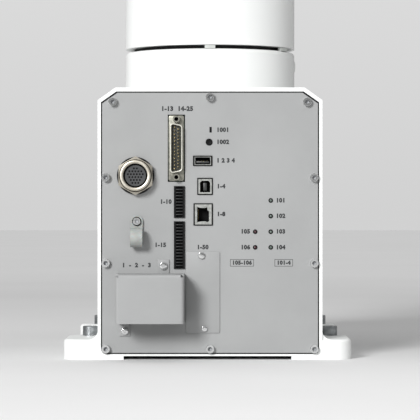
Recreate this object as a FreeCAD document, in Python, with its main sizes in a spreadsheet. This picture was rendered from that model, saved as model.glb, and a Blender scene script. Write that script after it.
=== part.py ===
# Six-axis robot arm on a base that holds its own controller, in millimetres.
# Origin on the floor at the turning axis of the column, +Z up, rear panel facing -Y.
import FreeCAD, Part
import os
import re
import Sketcher

doc = FreeCAD.newDocument("robot_arm")
nodes = []

# Driving dimensions, which become the cells of the sheet
SIZES = {
    # Base box and its feet
    "base_width": 182,
    "base_height": 220.5,
    "rear_reach": 164,
    "front_reach": 120,
    "casting_wall": 10,
    "shoulder_chamfer_x": 14.5,
    "shoulder_chamfer_z": 10.2,
    "front_corner_radius": 12,
    "relief_left": 70,
    "relief_right": 66,
    "relief_height": 3,
    "foot_height": 16.4,
    "foot_reach_left": 28.2,
    "foot_reach_right": 24.2,
    "rear_foot_length": 80,
    "front_foot_length": 40,
    "foot_corner_radius": 15,
    "foot_edge_radius": 2.5,
    "foot_fillet": 7,
    "bolt_outset": 9,
    "rear_bolt_inset": 64,
    "front_bolt_inset": 20,
    "bolt_hole_radius": 4.5,

    # Rear panel, let into the rear rim of the box
    "panel_border": 2.6,
    "panel_border_low": 4.6,
    "panel_border_high": 3.2,
    "panel_gap": 0.9,
    "panel_thickness": 2,
    "panel_chamfer_x": 12.5,
    "panel_chamfer_z": 8.7,
    "panel_rim_side": 1,
    "panel_rim_end": 5,
    "panel_screw_side": 6.6,
    "panel_screw_low": 8.8,
    "panel_screw_high": 7.8,
    "corner_screw_side": 12.3,
    "corner_screw_high": 11.6,

    # Neck, gap and turning column
    "column_radius": 74.1,
    "neck_height": 38.1,
    "neck_edge_radius": 3,
    "joint_gap": 3.3,
    "turret_column_height": 73,
    "turret_edge_radius": 10,
    "seal_inner_radius": 64.6,
    "seal_width": 1.8,
    "stop_inner_radius": 66.8,
    "stop_depth": 6.6,
    "stop_width": 9,
    "spacer_inner_radius": 70.6,
    "spacer_depth": 3,
    "spacer_width": 13,
    "spacer_angle": 61,
    "lug_depth": 3.2,
    "plug_radius": 4.3,
    "plug_proud": 0.9,
    "plug_drop": 11.6,
    "plug_depth": 1.3,
    "j1_motor_radius": 44,
    "j1_motor_drop": 110,
    "j1_drive_radius": 56,
    "j1_drive_drop": 20,
    "j1_seat_depth": 12.6,
    "j1_flange_thickness": 4,
    "bearing_outer_radius": 64,
    "bearing_race_radius": 52,
    "bearing_inner_radius": 42,

    # Arm lengths from axis to axis
    "shoulder_forward": 100,
    "shoulder_height": 412,
    "upper_length": 420,
    "forearm_rise": 35,
    "forearm_length": 400,
    "tool_length": 80,

    # Shoulder drum, lower arm and elbow
    "drum_radius": 72,
    "drum_left": 85,
    "arm_side": 50,
    "web_left": 58,
    "drum_wall": 10,
    "web_back_angle": 125,
    "web_front_angle": 50,
    "web_back_height": 45,
    "web_edge_radius": 8,
    "column_wall": 16,
    "column_floor": 12,
    "motor_inset": 6,
    "j2_motor_radius": 44,
    "j2_motor_length": 54,
    "j2_flange_radius": 44,
    "flange_mouth_gap": 2,
    "flange_recess": 1.8,
    "cover_thickness": 5,
    "arm_gap": 0.5,
    "arm_depth": 45.5,
    "arm_low_radius": 66,
    "arm_high_radius": 56,
    "arm_waist": 42,
    "arm_waist_fillet": 60,
    "arm_wall": 8,
    "arm_floor": 11.5,
    "arm_cover_thickness": 4,
    "elbow_radius": 54,
    "elbow_wall": 9,
    "elbow_blend": 5,
    "roll_radius": 48,
    "roll_rear": 60,
    "roll_front": 90,
    "roll_lip": 6,
    "cover_screw_seat": 3.4,
    "j3_motor_radius": 32,
    "j3_motor_length": 40,
    "j3_flange_radius": 34,
    "j4_drive_length": 36,
    "j4_flange_radius": 28,

    # Forearm, wrist and tool flange
    "forearm_rear_radius": 47,
    "forearm_front_radius": 44,
    "forearm_wall": 7,
    "fork_width": 92,
    "slot_width": 64,
    "fork_half_height": 36,
    "fork_edge_radius": 9,
    "fork_cover_inset": 5,
    "fork_cover_thickness": 3,
    "fork_screw_ring": 22,
    "hub_radius": 24,
    "journal_radius": 14,
    "hub_depth": 7,
    "fork_root": 95,
    "slot_reach": 72,
    "wrist_radius": 35,
    "nose_radius": 29,
    "nose_length": 56,
    "j5_drive_radius": 28,
    "j5_drive_length": 40.7,
    "j6_drive_radius": 24,
    "j6_drive_length": 25,
    "flange_radius": 25,
    "flange_step": 10,
    "flange_face_radius": 20,
    "pilot_radius": 10,
    "pilot_depth": 6,
    "tool_circle_radius": 15.75,
    "tool_hole_radius": 2.5,
    "tool_hole_depth": 9,

    # Running clearance of hidden faces, and of screws in their holes
    "clearance": 0.3,
    "fit_clear": 0.05,
    "screw_clear": 0.2,
    "screw_radius": 2,
    "screw_bite": 8,
    "panel_head_radius": 3.5,
    "panel_head_height": 4,
    "cover_head_radius": 3.6,
    "cover_head_height": 2.2,
    "small_head_radius": 2.9,
    "small_head_height": 2,

    # Controls and sockets on the panel: insets from its left edge, but the lamps from the right
    # edge, and rises and drops from the middle of the base's height
    "panel_clear": 0.1,
    "board_depth": 14,
    "board_thickness": 1.6,
    "board_left_inset": 49,
    "board_right_inset": 29,
    "board_drop": 32.25,
    "board_top_inset": 15.5,
    "standoff_inset": 4,
    "standoff_radius": 2.5,
    "circular_inset": 30.8,
    "circular_rise": 38.75,
    "circular_flange_radius": 15.15,
    "circular_flange_thickness": 2,
    "barrel_radius": 12.45,
    "barrel_bore": 9.7,
    "barrel_proud": 15,
    "barrel_tail": 14,
    "nut_across_flats": 27.3,
    "nut_thickness": 5,
    "insert_radius": 8.55,
    "insert_proud": 11,
    "insert_step": 8,
    "insert_tail": 4,
    "d_sub_inset": 63.8,
    "d_sub_rise": 61.05,
    "d_sub_width": 12.5,
    "d_flange_end": 3,
    "d_flange_thickness": 1,
    "d_opening_gap": 0.75,
    "d_ring_width": 9.7,
    "d_ring_height": 40.7,
    "d_ring_proud": 5.5,
    "d_ring_wall": 0.6,
    "d_ring_corner": 2.6,
    "d_body_depth": 5,
    "jackscrew_spacing": 47,
    "jackscrew_radius": 2.9,
    "jackscrew_proud": 4.5,
    "jackscrew_bore": 1.5,
    "jackscrew_bore_depth": 4,
    "pin_pitch": 2.77,
    "pin_row_gap": 2.84,
    "pin_width": 0.9,
    "pin_length": 3.6,
    "block_inset": 66.2,
    "block_width": 8.7,
    "block_proud": 1.5,
    "block_rib": 1.1,
    "output_rise": 17.55,
    "output_ways": 10,
    "input_drop": 17.35,
    "input_ways": 15,
    "terminal_pitch": 2.54,
    "port_proud": 0.8,
    "port_back": 2,
    "memory_inset": 85.1,
    "memory_rise": 50.85,
    "memory_width": 15.6,
    "memory_height": 8.3,
    "memory_mouth_width": 13.1,
    "memory_mouth_height": 5.7,
    "memory_tongue_width": 11,
    "memory_tongue_height": 1.8,
    "memory_tongue_drop": 1.2,
    "computer_inset": 87,
    "computer_rise": 30.15,
    "computer_width": 12.5,
    "computer_height": 13.7,
    "computer_mouth_width": 8.2,
    "computer_mouth_height": 8.5,
    "computer_tongue_width": 2.6,
    "computer_tongue_height": 5,
    "network_inset": 85.5,
    "network_rise": 7.45,
    "network_width": 15.6,
    "network_height": 17.9,
    "network_mouth_width": 10.5,
    "network_mouth_height": 14.4,
    "network_tongue_width": 1.6,
    "network_tongue_height": 10,
    "window_inset": 91.5,
    "window_rise": 76.05,
    "window_width": 1.7,
    "window_height": 4.4,
    "reset_inset": 90.3,
    "reset_rise": 66.05,
    "reset_radius": 2.65,
    "reset_proud": 1,
    "reset_travel": 1.2,
    "reset_stem_radius": 1.8,
    "reset_switch_width": 8,
    "lamp_radius": 1.8,
    "lamp_inset": 41.8,
    "lamp_red_inset": 54.4,
    "lamp_rise": 18.75,
    "lamp_pitch": 12.65,
    "option_inset": 85.25,
    "option_z": 54.6,
    "option_width": 27.4,
    "option_height": 65.7,
    "option_thickness": 1,
    "option_side_rim": 4,
    "option_end_rim": 9,
    "clip_inset": 31.7,
    "clip_screw_rise": 1.85,
    "clip_loop_drop": 11.35,
    "clip_width": 10,
    "clip_loop_radius": 7.75,
    "clip_thickness": 1.2,
    "inlet_inset": 43.3,
    "inlet_drop": 59.95,
    "inlet_cover_width": 54,
    "inlet_cover_height": 39.3,
    "inlet_cover_proud": 36,
    "inlet_cover_sheet": 1.2,
    "inlet_flange_width": 48,
    "inlet_flange_height": 24,
    "inlet_flange_thickness": 2.5,
    "inlet_body_width": 28,
    "inlet_body_height": 20,
    "inlet_body_depth": 24,
    "inlet_wall": 2,
    "inlet_mouth_depth": 17,

    # Electronics inside the base
    "supply_left_inset": 25,
    "supply_right_inset": 61,
    "supply_start": 44,
    "supply_length": 116,
    "supply_height": 50,
    "drive_board_gap": 10,
    "drive_board_start": 40,
    "drive_board_end": 50,
    "drive_board_low": 70,
    "drive_board_top_inset": 40.5,
    "drive_post_inset": 6,
    "drive_post_radius": 3,
}

# Middles of what stands on the panel, and a height, by the sizes that they follow from
PLACES = {
    "d_sub_height": "jackscrew_spacing + 2 * d_flange_end",
    "circular_x": "circular_inset - base_width / 2",
    "circular_z": "base_height / 2 + circular_rise",
    "d_sub_x": "d_sub_inset - base_width / 2",
    "d_sub_z": "base_height / 2 + d_sub_rise",
    "block_x": "block_inset - base_width / 2",
    "output_z": "base_height / 2 + output_rise",
    "input_z": "base_height / 2 - input_drop",
    "memory_x": "memory_inset - base_width / 2",
    "memory_z": "base_height / 2 + memory_rise",
    "computer_x": "computer_inset - base_width / 2",
    "computer_z": "base_height / 2 + computer_rise",
    "network_x": "network_inset - base_width / 2",
    "network_z": "base_height / 2 + network_rise",
    "window_x": "window_inset - base_width / 2",
    "window_z": "base_height / 2 + window_rise",
    "reset_x": "reset_inset - base_width / 2",
    "reset_z": "base_height / 2 + reset_rise",
    "lamp_x": "base_width / 2 - lamp_inset",
    "lamp_red_x": "base_width / 2 - lamp_red_inset",
    "lamp_z": "base_height / 2 + lamp_rise",
    "option_x": "option_inset - base_width / 2",
    "clip_x": "clip_inset - base_width / 2",
    "clip_screw_z": "base_height / 2 + clip_screw_rise",
    "clip_loop_z": "base_height / 2 - clip_loop_drop",
    "inlet_x": "inlet_inset - base_width / 2",
    "inlet_z": "base_height / 2 - inlet_drop",
}

sheet = doc.addObject("Spreadsheet::Sheet", "sizes")
for row, (name, number) in enumerate(SIZES.items(), 1):
    sheet.set(f"A{row}", str(number))
    sheet.setAlias(f"A{row}", name)
doc.recompute()

WORD = re.compile(r"[a-z][a-z0-9_]*")
TURN = {
    "x": FreeCAD.Rotation(FreeCAD.Vector(0, 0, 1), FreeCAD.Vector(1, 0, 0)),
    "y": FreeCAD.Rotation(FreeCAD.Vector(0, 0, 1), FreeCAD.Vector(0, 1, 0)),
    "z": FreeCAD.Rotation(),
}


# Turns the names in a text into cells of the sheet
def formula(text):
    def cell(found):
        word = found[0]
        if word in PLACES:
            return f"({formula(PLACES[word])})"
        return f"sizes.{word}" if word in SIZES else word

    return WORD.sub(cell, str(text))


def amount(text):
    result = sheet.evalExpression(formula(text))
    return float(getattr(result, "Value", result))


def place(thing, x, y, z, along="z"):
    thing.Placement = FreeCAD.Placement(FreeCAD.Vector(), TURN[along])
    for axis, text in zip("xyz", (x, y, z)):
        thing.setExpression(f".Placement.Base.{axis}", formula(text))
    return thing


# A box given by its lowest and highest place along X, Y and Z
def block(x, y, z):
    thing = doc.addObject("Part::Box", "block")
    for side, (low, high) in zip(("Length", "Width", "Height"), (x, y, z)):
        thing.setExpression(side, formula(f"({high}) - ({low})"))
    return place(thing, x[0], y[0], z[0])


# A box of a given width, height and middle on the panel, between two depths
def panel_block(middle_x, middle_z, width, height, outer, inner):
    x = (f"{middle_x} - ({width}) / 2", f"{middle_x} + ({width}) / 2")
    z = (f"{middle_z} - ({height}) / 2", f"{middle_z} + ({height}) / 2")
    return block(x, (outer, inner), z)


# A cylinder between two places along one axis; at gives the other two, in X, Y, Z order
def rod(radius, start, end, at=("0", "0"), along="z"):
    thing = doc.addObject("Part::Cylinder", "rod")
    thing.setExpression("Radius", formula(radius))
    thing.setExpression("Height", formula(f"({end}) - ({start})"))
    spots = list(at)
    spots.insert("xyz".index(along), start)
    return place(thing, *spots, along=along)


def cone(start_radius, end_radius, start, end, at, along):
    thing = doc.addObject("Part::Cone", "cone")
    thing.setExpression("Radius1", formula(start_radius))
    thing.setExpression("Radius2", formula(end_radius))
    thing.setExpression("Height", formula(f"({end}) - ({start})"))
    spots = list(at)
    spots.insert("xyz".index(along), start)
    return place(thing, *spots, along=along)


def join(*things):
    whole = doc.addObject("Part::MultiFuse", "whole")
    whole.Shapes = list(things)
    whole.Refine = True
    return whole


def cut(base, *tools):
    rest = doc.addObject("Part::Cut", "rest")
    rest.Base = base
    rest.Tool = tools[0] if len(tools) == 1 else join(*tools)
    rest.Refine = True
    return rest


def overlap(one, other):
    shared = doc.addObject("Part::Common", "shared")
    shared.Base = one
    shared.Tool = other
    return shared


def group(*things):
    several = doc.addObject("Part::Compound", "several")
    several.Links = list(things)
    return several


def tube(outer, inner, start, end, at=("0", "0"), along="z"):
    return cut(rod(outer, start, end, at, along), rod(inner, f"{start} - 1", f"{end} + 1", at, along))


# Rounds the edges that the picker accepts by their middle point and direction
def rounded(thing, radius, picker):
    doc.recompute()
    chosen = []
    for number, edge in enumerate(thing.Shape.Edges, 1):
        middle = edge.valueAt((edge.FirstParameter + edge.LastParameter) / 2)
        if picker(edge, middle):
            chosen.append((number, amount(radius), amount(radius)))
    if not chosen:
        raise ValueError(f"no edge to round on {thing.Name}")
    soft = doc.addObject("Part::Fillet", "soft")
    soft.Base = thing
    soft.Edges = chosen
    return soft


def near(one, other):
    return abs(one - other) < 0.01


def is_line(edge, axis):
    if edge.Curve.TypeId != "Part::GeomLine":
        return False
    return abs(abs(edge.Curve.Direction[axis]) - 1) < 1e-6


# A body grown from a closed outline that is drawn on one of its own origin planes
def outline_body(plane, offset, corners, depth, backwards=False):
    body = doc.addObject("PartDesign::Body", "body")
    origin_plane = [feature for feature in body.Origin.OriginFeatures if feature.Role == plane][0]
    outline = body.newObject("Sketcher::SketchObject", "outline")
    outline.AttachmentSupport = [(origin_plane, "")]
    outline.MapMode = "FlatFace"
    outline.setExpression(".AttachmentOffset.Base.z", formula(offset))
    spots = [FreeCAD.Vector(amount(x), amount(y), 0) for x, y in corners]
    lines = []
    for start, end in zip(spots, spots[1:] + spots[:1]):
        lines.append(outline.addGeometry(Part.LineSegment(start, end), False))
    for line, following in zip(lines, lines[1:] + lines[:1]):
        outline.addConstraint(Sketcher.Constraint("Coincident", line, 2, following, 1))
    for line, corner in zip(lines, corners):
        for kind, text in zip(("DistanceX", "DistanceY"), corner):
            number = outline.addConstraint(Sketcher.Constraint(kind, -1, 1, line, 1, amount(text)))
            outline.setExpression(f"Constraints[{number}]", formula(text))
    pad = body.newObject("PartDesign::Pad", "pad")
    pad.Profile = outline
    pad.Reversed = backwards
    pad.setExpression("Length", formula(depth))
    return body


def node(name, thing):
    thing.Label = name
    nodes.append(thing)
    return thing


# The house shape of the box and of its panel: a rectangle with two chamfered upper corners
def house(half_width, low, high, chamfer_x, chamfer_z):
    return [
        (f"-({half_width})", low),
        (half_width, low),
        (half_width, f"{high} - ({chamfer_z})"),
        (f"{half_width} - ({chamfer_x})", high),
        (f"{chamfer_x} - ({half_width})", high),
        (f"-({half_width})", f"{high} - ({chamfer_z})"),
    ]


# Depths behind and in front of the panel, as places along Y
PANEL_FACE = "-rear_reach"
PANEL_BACK = "panel_thickness - rear_reach"
BOARD_FACE = "panel_thickness + board_depth - rear_reach"
NECK_TOP = "base_height + neck_height"
TURRET_LOW = "base_height + neck_height + joint_gap"
SHOULDER = ("shoulder_forward", "shoulder_height")
ELBOW_Z = "shoulder_height + upper_length"
ROLL_Z = "shoulder_height + upper_length + forearm_rise"
ELBOW = ("shoulder_forward", ELBOW_Z)
ROLL = ("0", ROLL_Z)
WRIST_Y = "shoulder_forward + forearm_length"
WRIST = (WRIST_Y, ROLL_Z)
FACE_Y = "shoulder_forward + forearm_length + tool_length"

# Screw places on the rear panel, as X and Z
PANEL_SCREWS = [
    ("corner_screw_side - base_width / 2", "base_height - corner_screw_high"),
    ("0", "base_height - panel_screw_high"),
    ("base_width / 2 - corner_screw_side", "base_height - corner_screw_high"),
    ("panel_screw_side - base_width / 2", "base_height * 0.67"),
    ("base_width / 2 - panel_screw_side", "base_height * 0.67"),
    ("panel_screw_side - base_width / 2", "base_height * 0.355"),
    ("base_width / 2 - panel_screw_side", "base_height * 0.355"),
    ("panel_screw_side - base_width / 2", "panel_screw_low"),
    ("0", "panel_screw_low"),
    ("base_width / 2 - panel_screw_side", "panel_screw_low"),
]


# One screw: its head stands before the seat, and its shank goes in behind it
def screw(head_radius, head_height, seat, at, along, inward, bite):
    if inward > 0:
        head = rod(head_radius, f"{seat} - {head_height}", seat, at, along)
        shank = rod("screw_radius", seat, f"{seat} + {bite}", at, along)
    else:
        head = rod(head_radius, seat, f"{seat} + {head_height}", at, along)
        shank = rod("screw_radius", f"{seat} - ({bite})", seat, at, along)
    return join(head, shank)


def screw_hole(seat, at, along, inward, bite):
    radius = "screw_radius + screw_clear"
    if inward > 0:
        return rod(radius, f"{seat} - 1", f"{seat} + {bite} + screw_clear", at, along)
    return rod(radius, f"{seat} - ({bite}) - screw_clear", f"{seat} + 1", at, along)


# Base casting: a hollow box open at the rear, with a round neck and four foot lugs
def make_base():
    half = "base_width / 2"
    shell = outline_body(
        "XZ_Plane", "rear_reach",
        house(half, "0", "base_height", "shoulder_chamfer_x", "shoulder_chamfer_z"),
        "rear_reach + front_reach", True)
    front = amount("front_reach")
    side = amount(half)
    shell = rounded(shell, "front_corner_radius",
                    lambda edge, middle: is_line(edge, 2) and near(middle.y, front)
                    and near(abs(middle.x), side))
    neck = rounded(rod("column_radius", "base_height - casting_wall", NECK_TOP), "neck_edge_radius",
                   lambda edge, middle: edge.Closed and near(middle.z, amount(NECK_TOP)))
    feet = []
    for way, reach in (("-1", "foot_reach_left"), ("1", "foot_reach_right")):
        root = f"{way} * (base_width / 2 - 4)"
        tip = f"{way} * (base_width / 2 + {reach})"
        across = (tip, root) if way == "-1" else (root, tip)
        curve_x = f"{way} * (base_width / 2 + foot_fillet)"
        gusset_x = f"{way} * (base_width / 2 - 1)"
        gusset = (curve_x, gusset_x) if way == "-1" else (gusset_x, curve_x)
        for low, high in (("-rear_reach", "rear_foot_length - rear_reach"),
                          ("front_reach - front_foot_length", "front_reach")):
            foot = block(across, (low, high), ("0", "foot_height"))
            edge_x = amount(tip)
            top = amount("foot_height")
            foot = rounded(foot, "foot_corner_radius",
                           lambda edge, middle: is_line(edge, 2) and near(middle.x, edge_x))
            foot = rounded(foot, "foot_edge_radius",
                           lambda edge, middle: near(middle.z, top) and not near(middle.x, amount(root)))
            wedge = block(gusset, (f"{low} + 2", f"{high} - 2"),
                          ("foot_height - 1", "foot_height + foot_fillet"))
            round_out = rod("foot_fillet", f"{low} - 1", f"{high} + 1",
                            (curve_x, "foot_height + foot_fillet"), "y")
            feet += [foot, cut(wedge, round_out)]
    whole = join(shell, neck, *feet)
    recess = outline_body(
        "XZ_Plane", "rear_reach + 1",
        house("base_width / 2 - panel_border", "panel_border_low", "base_height - panel_border_high",
              "panel_chamfer_x", "panel_chamfer_z"),
        "panel_thickness + 1", True)
    cavity = outline_body(
        "XZ_Plane", "rear_reach + 1",
        house("base_width / 2 - casting_wall - panel_rim_side", "casting_wall + panel_rim_end",
              "base_height - casting_wall - panel_rim_end", "panel_chamfer_x", "panel_chamfer_z"),
        "rear_reach + front_reach + 1 - casting_wall", True)
    relief = block(("-relief_left", "relief_right"), ("-rear_reach - 1", "front_reach + 1"),
                   ("-1", "relief_height"))
    bore = rod("j1_drive_radius + clearance", "base_height - casting_wall - panel_rim_end - 1",
               f"{NECK_TOP} + 1")
    bearing_seat = rod("bearing_outer_radius + clearance", f"{NECK_TOP} - j1_seat_depth", f"{NECK_TOP} + 1")
    plug_seat = rod("plug_radius + 2 * fit_clear", "column_radius - plug_depth", "column_radius + 2",
                    ("0", f"{NECK_TOP} - plug_drop"), "x")
    holes = []
    for across in ("-base_width / 2 - bolt_outset", "base_width / 2 + bolt_outset"):
        for along in ("rear_bolt_inset - rear_reach", "front_reach - front_bolt_inset"):
            holes.append(rod("bolt_hole_radius", "-1", "foot_height + 1", (across, along)))
    for spot in PANEL_SCREWS + [spot for spot, _ in small_screws()]:
        holes.append(screw_hole(PANEL_BACK, spot, "y", 1, "screw_bite"))
    node("base_casting", cut(whole, recess, cavity, relief, bore, bearing_seat, plug_seat, *holes))
    node("neck_plug", rod("plug_radius", "column_radius - plug_depth", "column_radius + plug_proud",
                          ("0", f"{NECK_TOP} - plug_drop"), "x"))


# Sockets by the first word of their sizes; terminal blocks by height and number of ways
SOCKETS = {"memory_port": "memory", "computer_port": "computer", "network_jack": "network"}
BLOCKS = [("output_z", "output_ways"), ("input_z", "input_ways")]
LAMPS = [("lamp_x", row) for row in range(4)] + [("lamp_red_x", row) for row in (2, 3)]


def lamp_place(column, row):
    return (column, f"lamp_z - {row} * lamp_pitch")


# Rear panel: sheet metal with an opening for each socket, lamp and button
def make_panel():
    sheet_metal = outline_body(
        "XZ_Plane", "rear_reach",
        house("base_width / 2 - panel_border - panel_gap", "panel_border_low + panel_gap",
              "base_height - panel_border_high - panel_gap", "panel_chamfer_x", "panel_chamfer_z"),
        "panel_thickness", True)
    outer = f"{PANEL_FACE} - 1"
    inner = f"{PANEL_BACK} + 1"
    openings = [rod("barrel_radius + panel_clear", outer, inner, ("circular_x", "circular_z"), "y")]
    openings.append(panel_block("d_sub_x", "d_sub_z", "d_sub_width + 2 * d_opening_gap",
                                "d_sub_height + 2 * d_opening_gap", outer, inner))
    for word in SOCKETS.values():
        openings.append(panel_block(f"{word}_x", f"{word}_z", f"{word}_width + 2 * panel_clear",
                                    f"{word}_height + 2 * panel_clear", outer, inner))
    for height, ways in BLOCKS:
        openings.append(panel_block("block_x", height, "block_width + 2 * panel_clear",
                                    f"{ways} * terminal_pitch + 4 * panel_clear", outer, inner))
    openings.append(panel_block("window_x", "window_z", "window_width + 2 * panel_clear",
                                "window_height + 2 * panel_clear", outer, inner))
    openings.append(rod("reset_radius + 2 * panel_clear", outer, inner, ("reset_x", "reset_z"), "y"))
    for column, row in LAMPS:
        openings.append(rod("lamp_radius + panel_clear", outer, inner, lamp_place(column, row), "y"))
    openings.append(panel_block("option_x", "option_z", "option_width - 2 * option_side_rim",
                                "option_height - 2 * option_end_rim", outer, inner))
    openings.append(panel_block("inlet_x", "inlet_z", "inlet_body_width + 2 * panel_clear",
                                "inlet_body_height + 2 * panel_clear", outer, inner))
    for spot in PANEL_SCREWS:
        openings.append(rod("screw_radius + screw_clear", outer, inner, spot, "y"))
    for spot, _ in small_screws():
        openings.append(rod("screw_radius + screw_clear", outer, inner, spot, "y"))
    node("rear_panel", cut(sheet_metal, *openings))
    heads = []
    for spot in PANEL_SCREWS:
        heads.append(screw("panel_head_radius", "panel_head_height", PANEL_FACE, spot, "y", 1,
                           "panel_thickness + screw_bite"))
    node("panel_screws", group(*heads))


# Small screws that hold the plate, the clip and the inlet cover: place and seat thickness
def small_screws():
    return [
        (("option_x - 1.2", "option_z + option_height / 2 - 2.9"), "option_thickness"),
        (("option_x + 1.3", "option_z - option_height / 2 + 3.5"), "option_thickness"),
        (("clip_x", "clip_screw_z"), "2 * clip_thickness"),
        (("inlet_x + 10", "inlet_z + inlet_cover_height / 2 + 6.2"), "inlet_cover_sheet"),
        (("inlet_x - 21.4", "inlet_z - inlet_cover_height / 2 - 6.5"), "inlet_cover_sheet"),
    ]


# Twenty-five way D connector: flange with a D-shaped ring, insert, pins and two jackscrews
def make_d_connector():
    def d_outline(grow):
        half_width = f"d_ring_width / 2 + ({grow})"
        long_half = f"d_ring_height / 2 + ({grow})"
        short_half = f"d_ring_height / 2 + ({grow}) - d_ring_width * tan(10)"
        corners = [("-", long_half, "-"), ("+", short_half, "-"), ("+", short_half, ""), ("-", long_half, "")]
        return [(f"d_sub_x {side} ({half_width})", f"d_sub_z + {way}({reach})" if way == "" else
                 f"d_sub_z - ({reach})") for side, reach, way in corners]

    def d_prism(grow, outer, inner, radius):
        prism = outline_body("XZ_Plane", f"-({outer})", d_outline(grow), f"({inner}) - ({outer})", True)
        return rounded(prism, radius, lambda edge, middle: is_line(edge, 1))

    jackscrews = [("d_sub_x", f"d_sub_z {way} jackscrew_spacing / 2") for way in ("-", "+")]
    flange_face = f"{PANEL_FACE} - d_flange_thickness"
    bore_end = f"{PANEL_FACE} + d_body_depth + 1"
    flange = panel_block("d_sub_x", "d_sub_z", "d_sub_width", "d_sub_height", flange_face, PANEL_FACE)
    ring = d_prism("0", f"{PANEL_FACE} - d_ring_proud", PANEL_FACE, "d_ring_corner")
    hollow = d_prism("-d_ring_wall", f"{PANEL_FACE} - d_ring_proud - 1", f"{PANEL_FACE} + 1",
                     "d_ring_corner - d_ring_wall")
    holes = [rod("screw_radius", f"{flange_face} - 1", bore_end, spot, "y") for spot in jackscrews]
    shell = cut(join(flange, ring), hollow, *holes)
    posts = []
    for spot in jackscrews:
        head = rod("jackscrew_radius", f"{flange_face} - jackscrew_proud", flange_face, spot, "y")
        stem = rod("screw_radius - 2 * fit_clear", flange_face, f"{PANEL_FACE} + d_body_depth", spot, "y")
        socket = rod("jackscrew_bore", f"{flange_face} - jackscrew_proud - 1",
                     f"{flange_face} - jackscrew_proud + jackscrew_bore_depth", spot, "y")
        posts.append(cut(join(head, stem), socket))
    node("d_connector_shell", group(shell, *posts))
    front = d_prism("-d_ring_wall - 2 * fit_clear", flange_face, f"{PANEL_FACE} + 1",
                    "d_ring_corner - d_ring_wall - 2 * fit_clear")
    wings = panel_block("d_sub_x", "d_sub_z", "d_sub_width - 2 * d_flange_thickness",
                        "d_sub_height - d_flange_thickness", PANEL_FACE, f"{PANEL_FACE} + d_body_depth")
    middle = panel_block("d_sub_x", "d_sub_z", "d_ring_width - 2.2", "d_ring_height - 6",
                         f"{PANEL_FACE} + 2", BOARD_FACE)
    node("d_connector_insert", cut(join(front, wings, middle), *holes))
    pins = []
    for column, ways in (("-", 13), ("+", 12)):
        for way in range(ways):
            height = f"d_sub_z + ({way - (ways - 1) / 2}) * pin_pitch"
            pins.append(panel_block(f"d_sub_x {column} pin_row_gap / 2", height, "pin_width", "pin_width",
                                    f"{flange_face} - pin_length", flange_face))
    node("d_connector_pins", group(*pins))


# Circular connector: flanged barrel, hexagon nut and moulded insert
def make_circular_connector():
    at = ("circular_x", "circular_z")
    flange_face = f"{PANEL_FACE} - circular_flange_thickness"
    rim = f"{PANEL_FACE} - barrel_proud"
    flange = rod("circular_flange_radius", flange_face, PANEL_FACE, at, "y")
    barrel = rod("barrel_radius", rim, f"{PANEL_FACE} + barrel_tail", at, "y")
    bore = rod("barrel_bore", f"{rim} - 1", f"{PANEL_FACE} + insert_tail", at, "y")
    node("circular_connector_shell", cut(join(flange, barrel), bore))
    nut = doc.addObject("Part::Prism", "nut")
    nut.Polygon = 6
    nut.setExpression("Circumradius", formula("nut_across_flats / 2 / cos(30)"))
    nut.setExpression("Height", formula("nut_thickness"))
    place(nut, at[0], f"{flange_face} - nut_thickness", at[1], "y")
    nut.Placement.Rotation = TURN["y"] * FreeCAD.Rotation(FreeCAD.Vector(0, 0, 1), 30)
    hole = rod("barrel_radius + fit_clear", f"{flange_face} - nut_thickness - 1", f"{flange_face} + 1",
               at, "y")
    turned_corner = rod("nut_across_flats / 2 / cos(30) - 0.5", f"{flange_face} - nut_thickness",
                        flange_face, at, "y")
    node("circular_connector_nut", cut(overlap(nut, turned_corner), hole))
    step = f"{PANEL_FACE} - insert_step"
    collar = rod("barrel_bore - 2 * fit_clear", step, f"{PANEL_FACE} + insert_tail", at, "y")
    ways = rod("insert_radius", f"{PANEL_FACE} - insert_proud", f"{step} + 1", at, "y")
    node("circular_connector_insert", join(collar, ways))


# Memory port, computer port and network jack: metal frames with moulded tongues inside
def make_ports():
    for name, word in SOCKETS.items():
        frame = panel_block(f"{word}_x", f"{word}_z", f"{word}_width", f"{word}_height",
                            f"{PANEL_FACE} - port_proud", BOARD_FACE)
        mouth = panel_block(f"{word}_x", f"{word}_z", f"{word}_mouth_width", f"{word}_mouth_height",
                            f"{PANEL_FACE} - port_proud - 1", f"{BOARD_FACE} - port_back")
        node(name, cut(frame, mouth))
    root = f"{BOARD_FACE} - port_back"
    side = "network_x - network_mouth_width / 2 + fit_clear"
    tongues = [
        panel_block("memory_x", "memory_z - memory_tongue_drop", "memory_tongue_width",
                    "memory_tongue_height", f"{PANEL_FACE} + 1", root),
        panel_block("computer_x", "computer_z", "computer_tongue_width", "computer_tongue_height",
                    f"{PANEL_FACE} + 1", root),
        block((side, f"{side} + network_tongue_width"), (f"{PANEL_FACE} + 3", root),
              ("network_z - network_tongue_height / 2", "network_z + network_tongue_height / 2")),
    ]
    node("port_tongues", group(*tongues))


# Terminal blocks with one wide slot for each way
def make_terminal_blocks():
    blocks = []
    for height, ways in BLOCKS:
        moulding = panel_block("block_x", height, "block_width", f"{ways} * terminal_pitch + 2 * panel_clear",
                               f"{PANEL_FACE} - block_proud", BOARD_FACE)
        slots = []
        for row in range(round(amount(ways))):
            spot = f"{height} + ({row} - ({ways} - 1) / 2) * terminal_pitch"
            slots.append(panel_block("block_x", spot, "block_width - 3.2", "terminal_pitch - block_rib",
                                     f"{PANEL_FACE} - block_proud - 1", f"{PANEL_FACE} + block_proud"))
        blocks.append(cut(moulding, *slots))
    node("terminal_blocks", group(*blocks))


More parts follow.
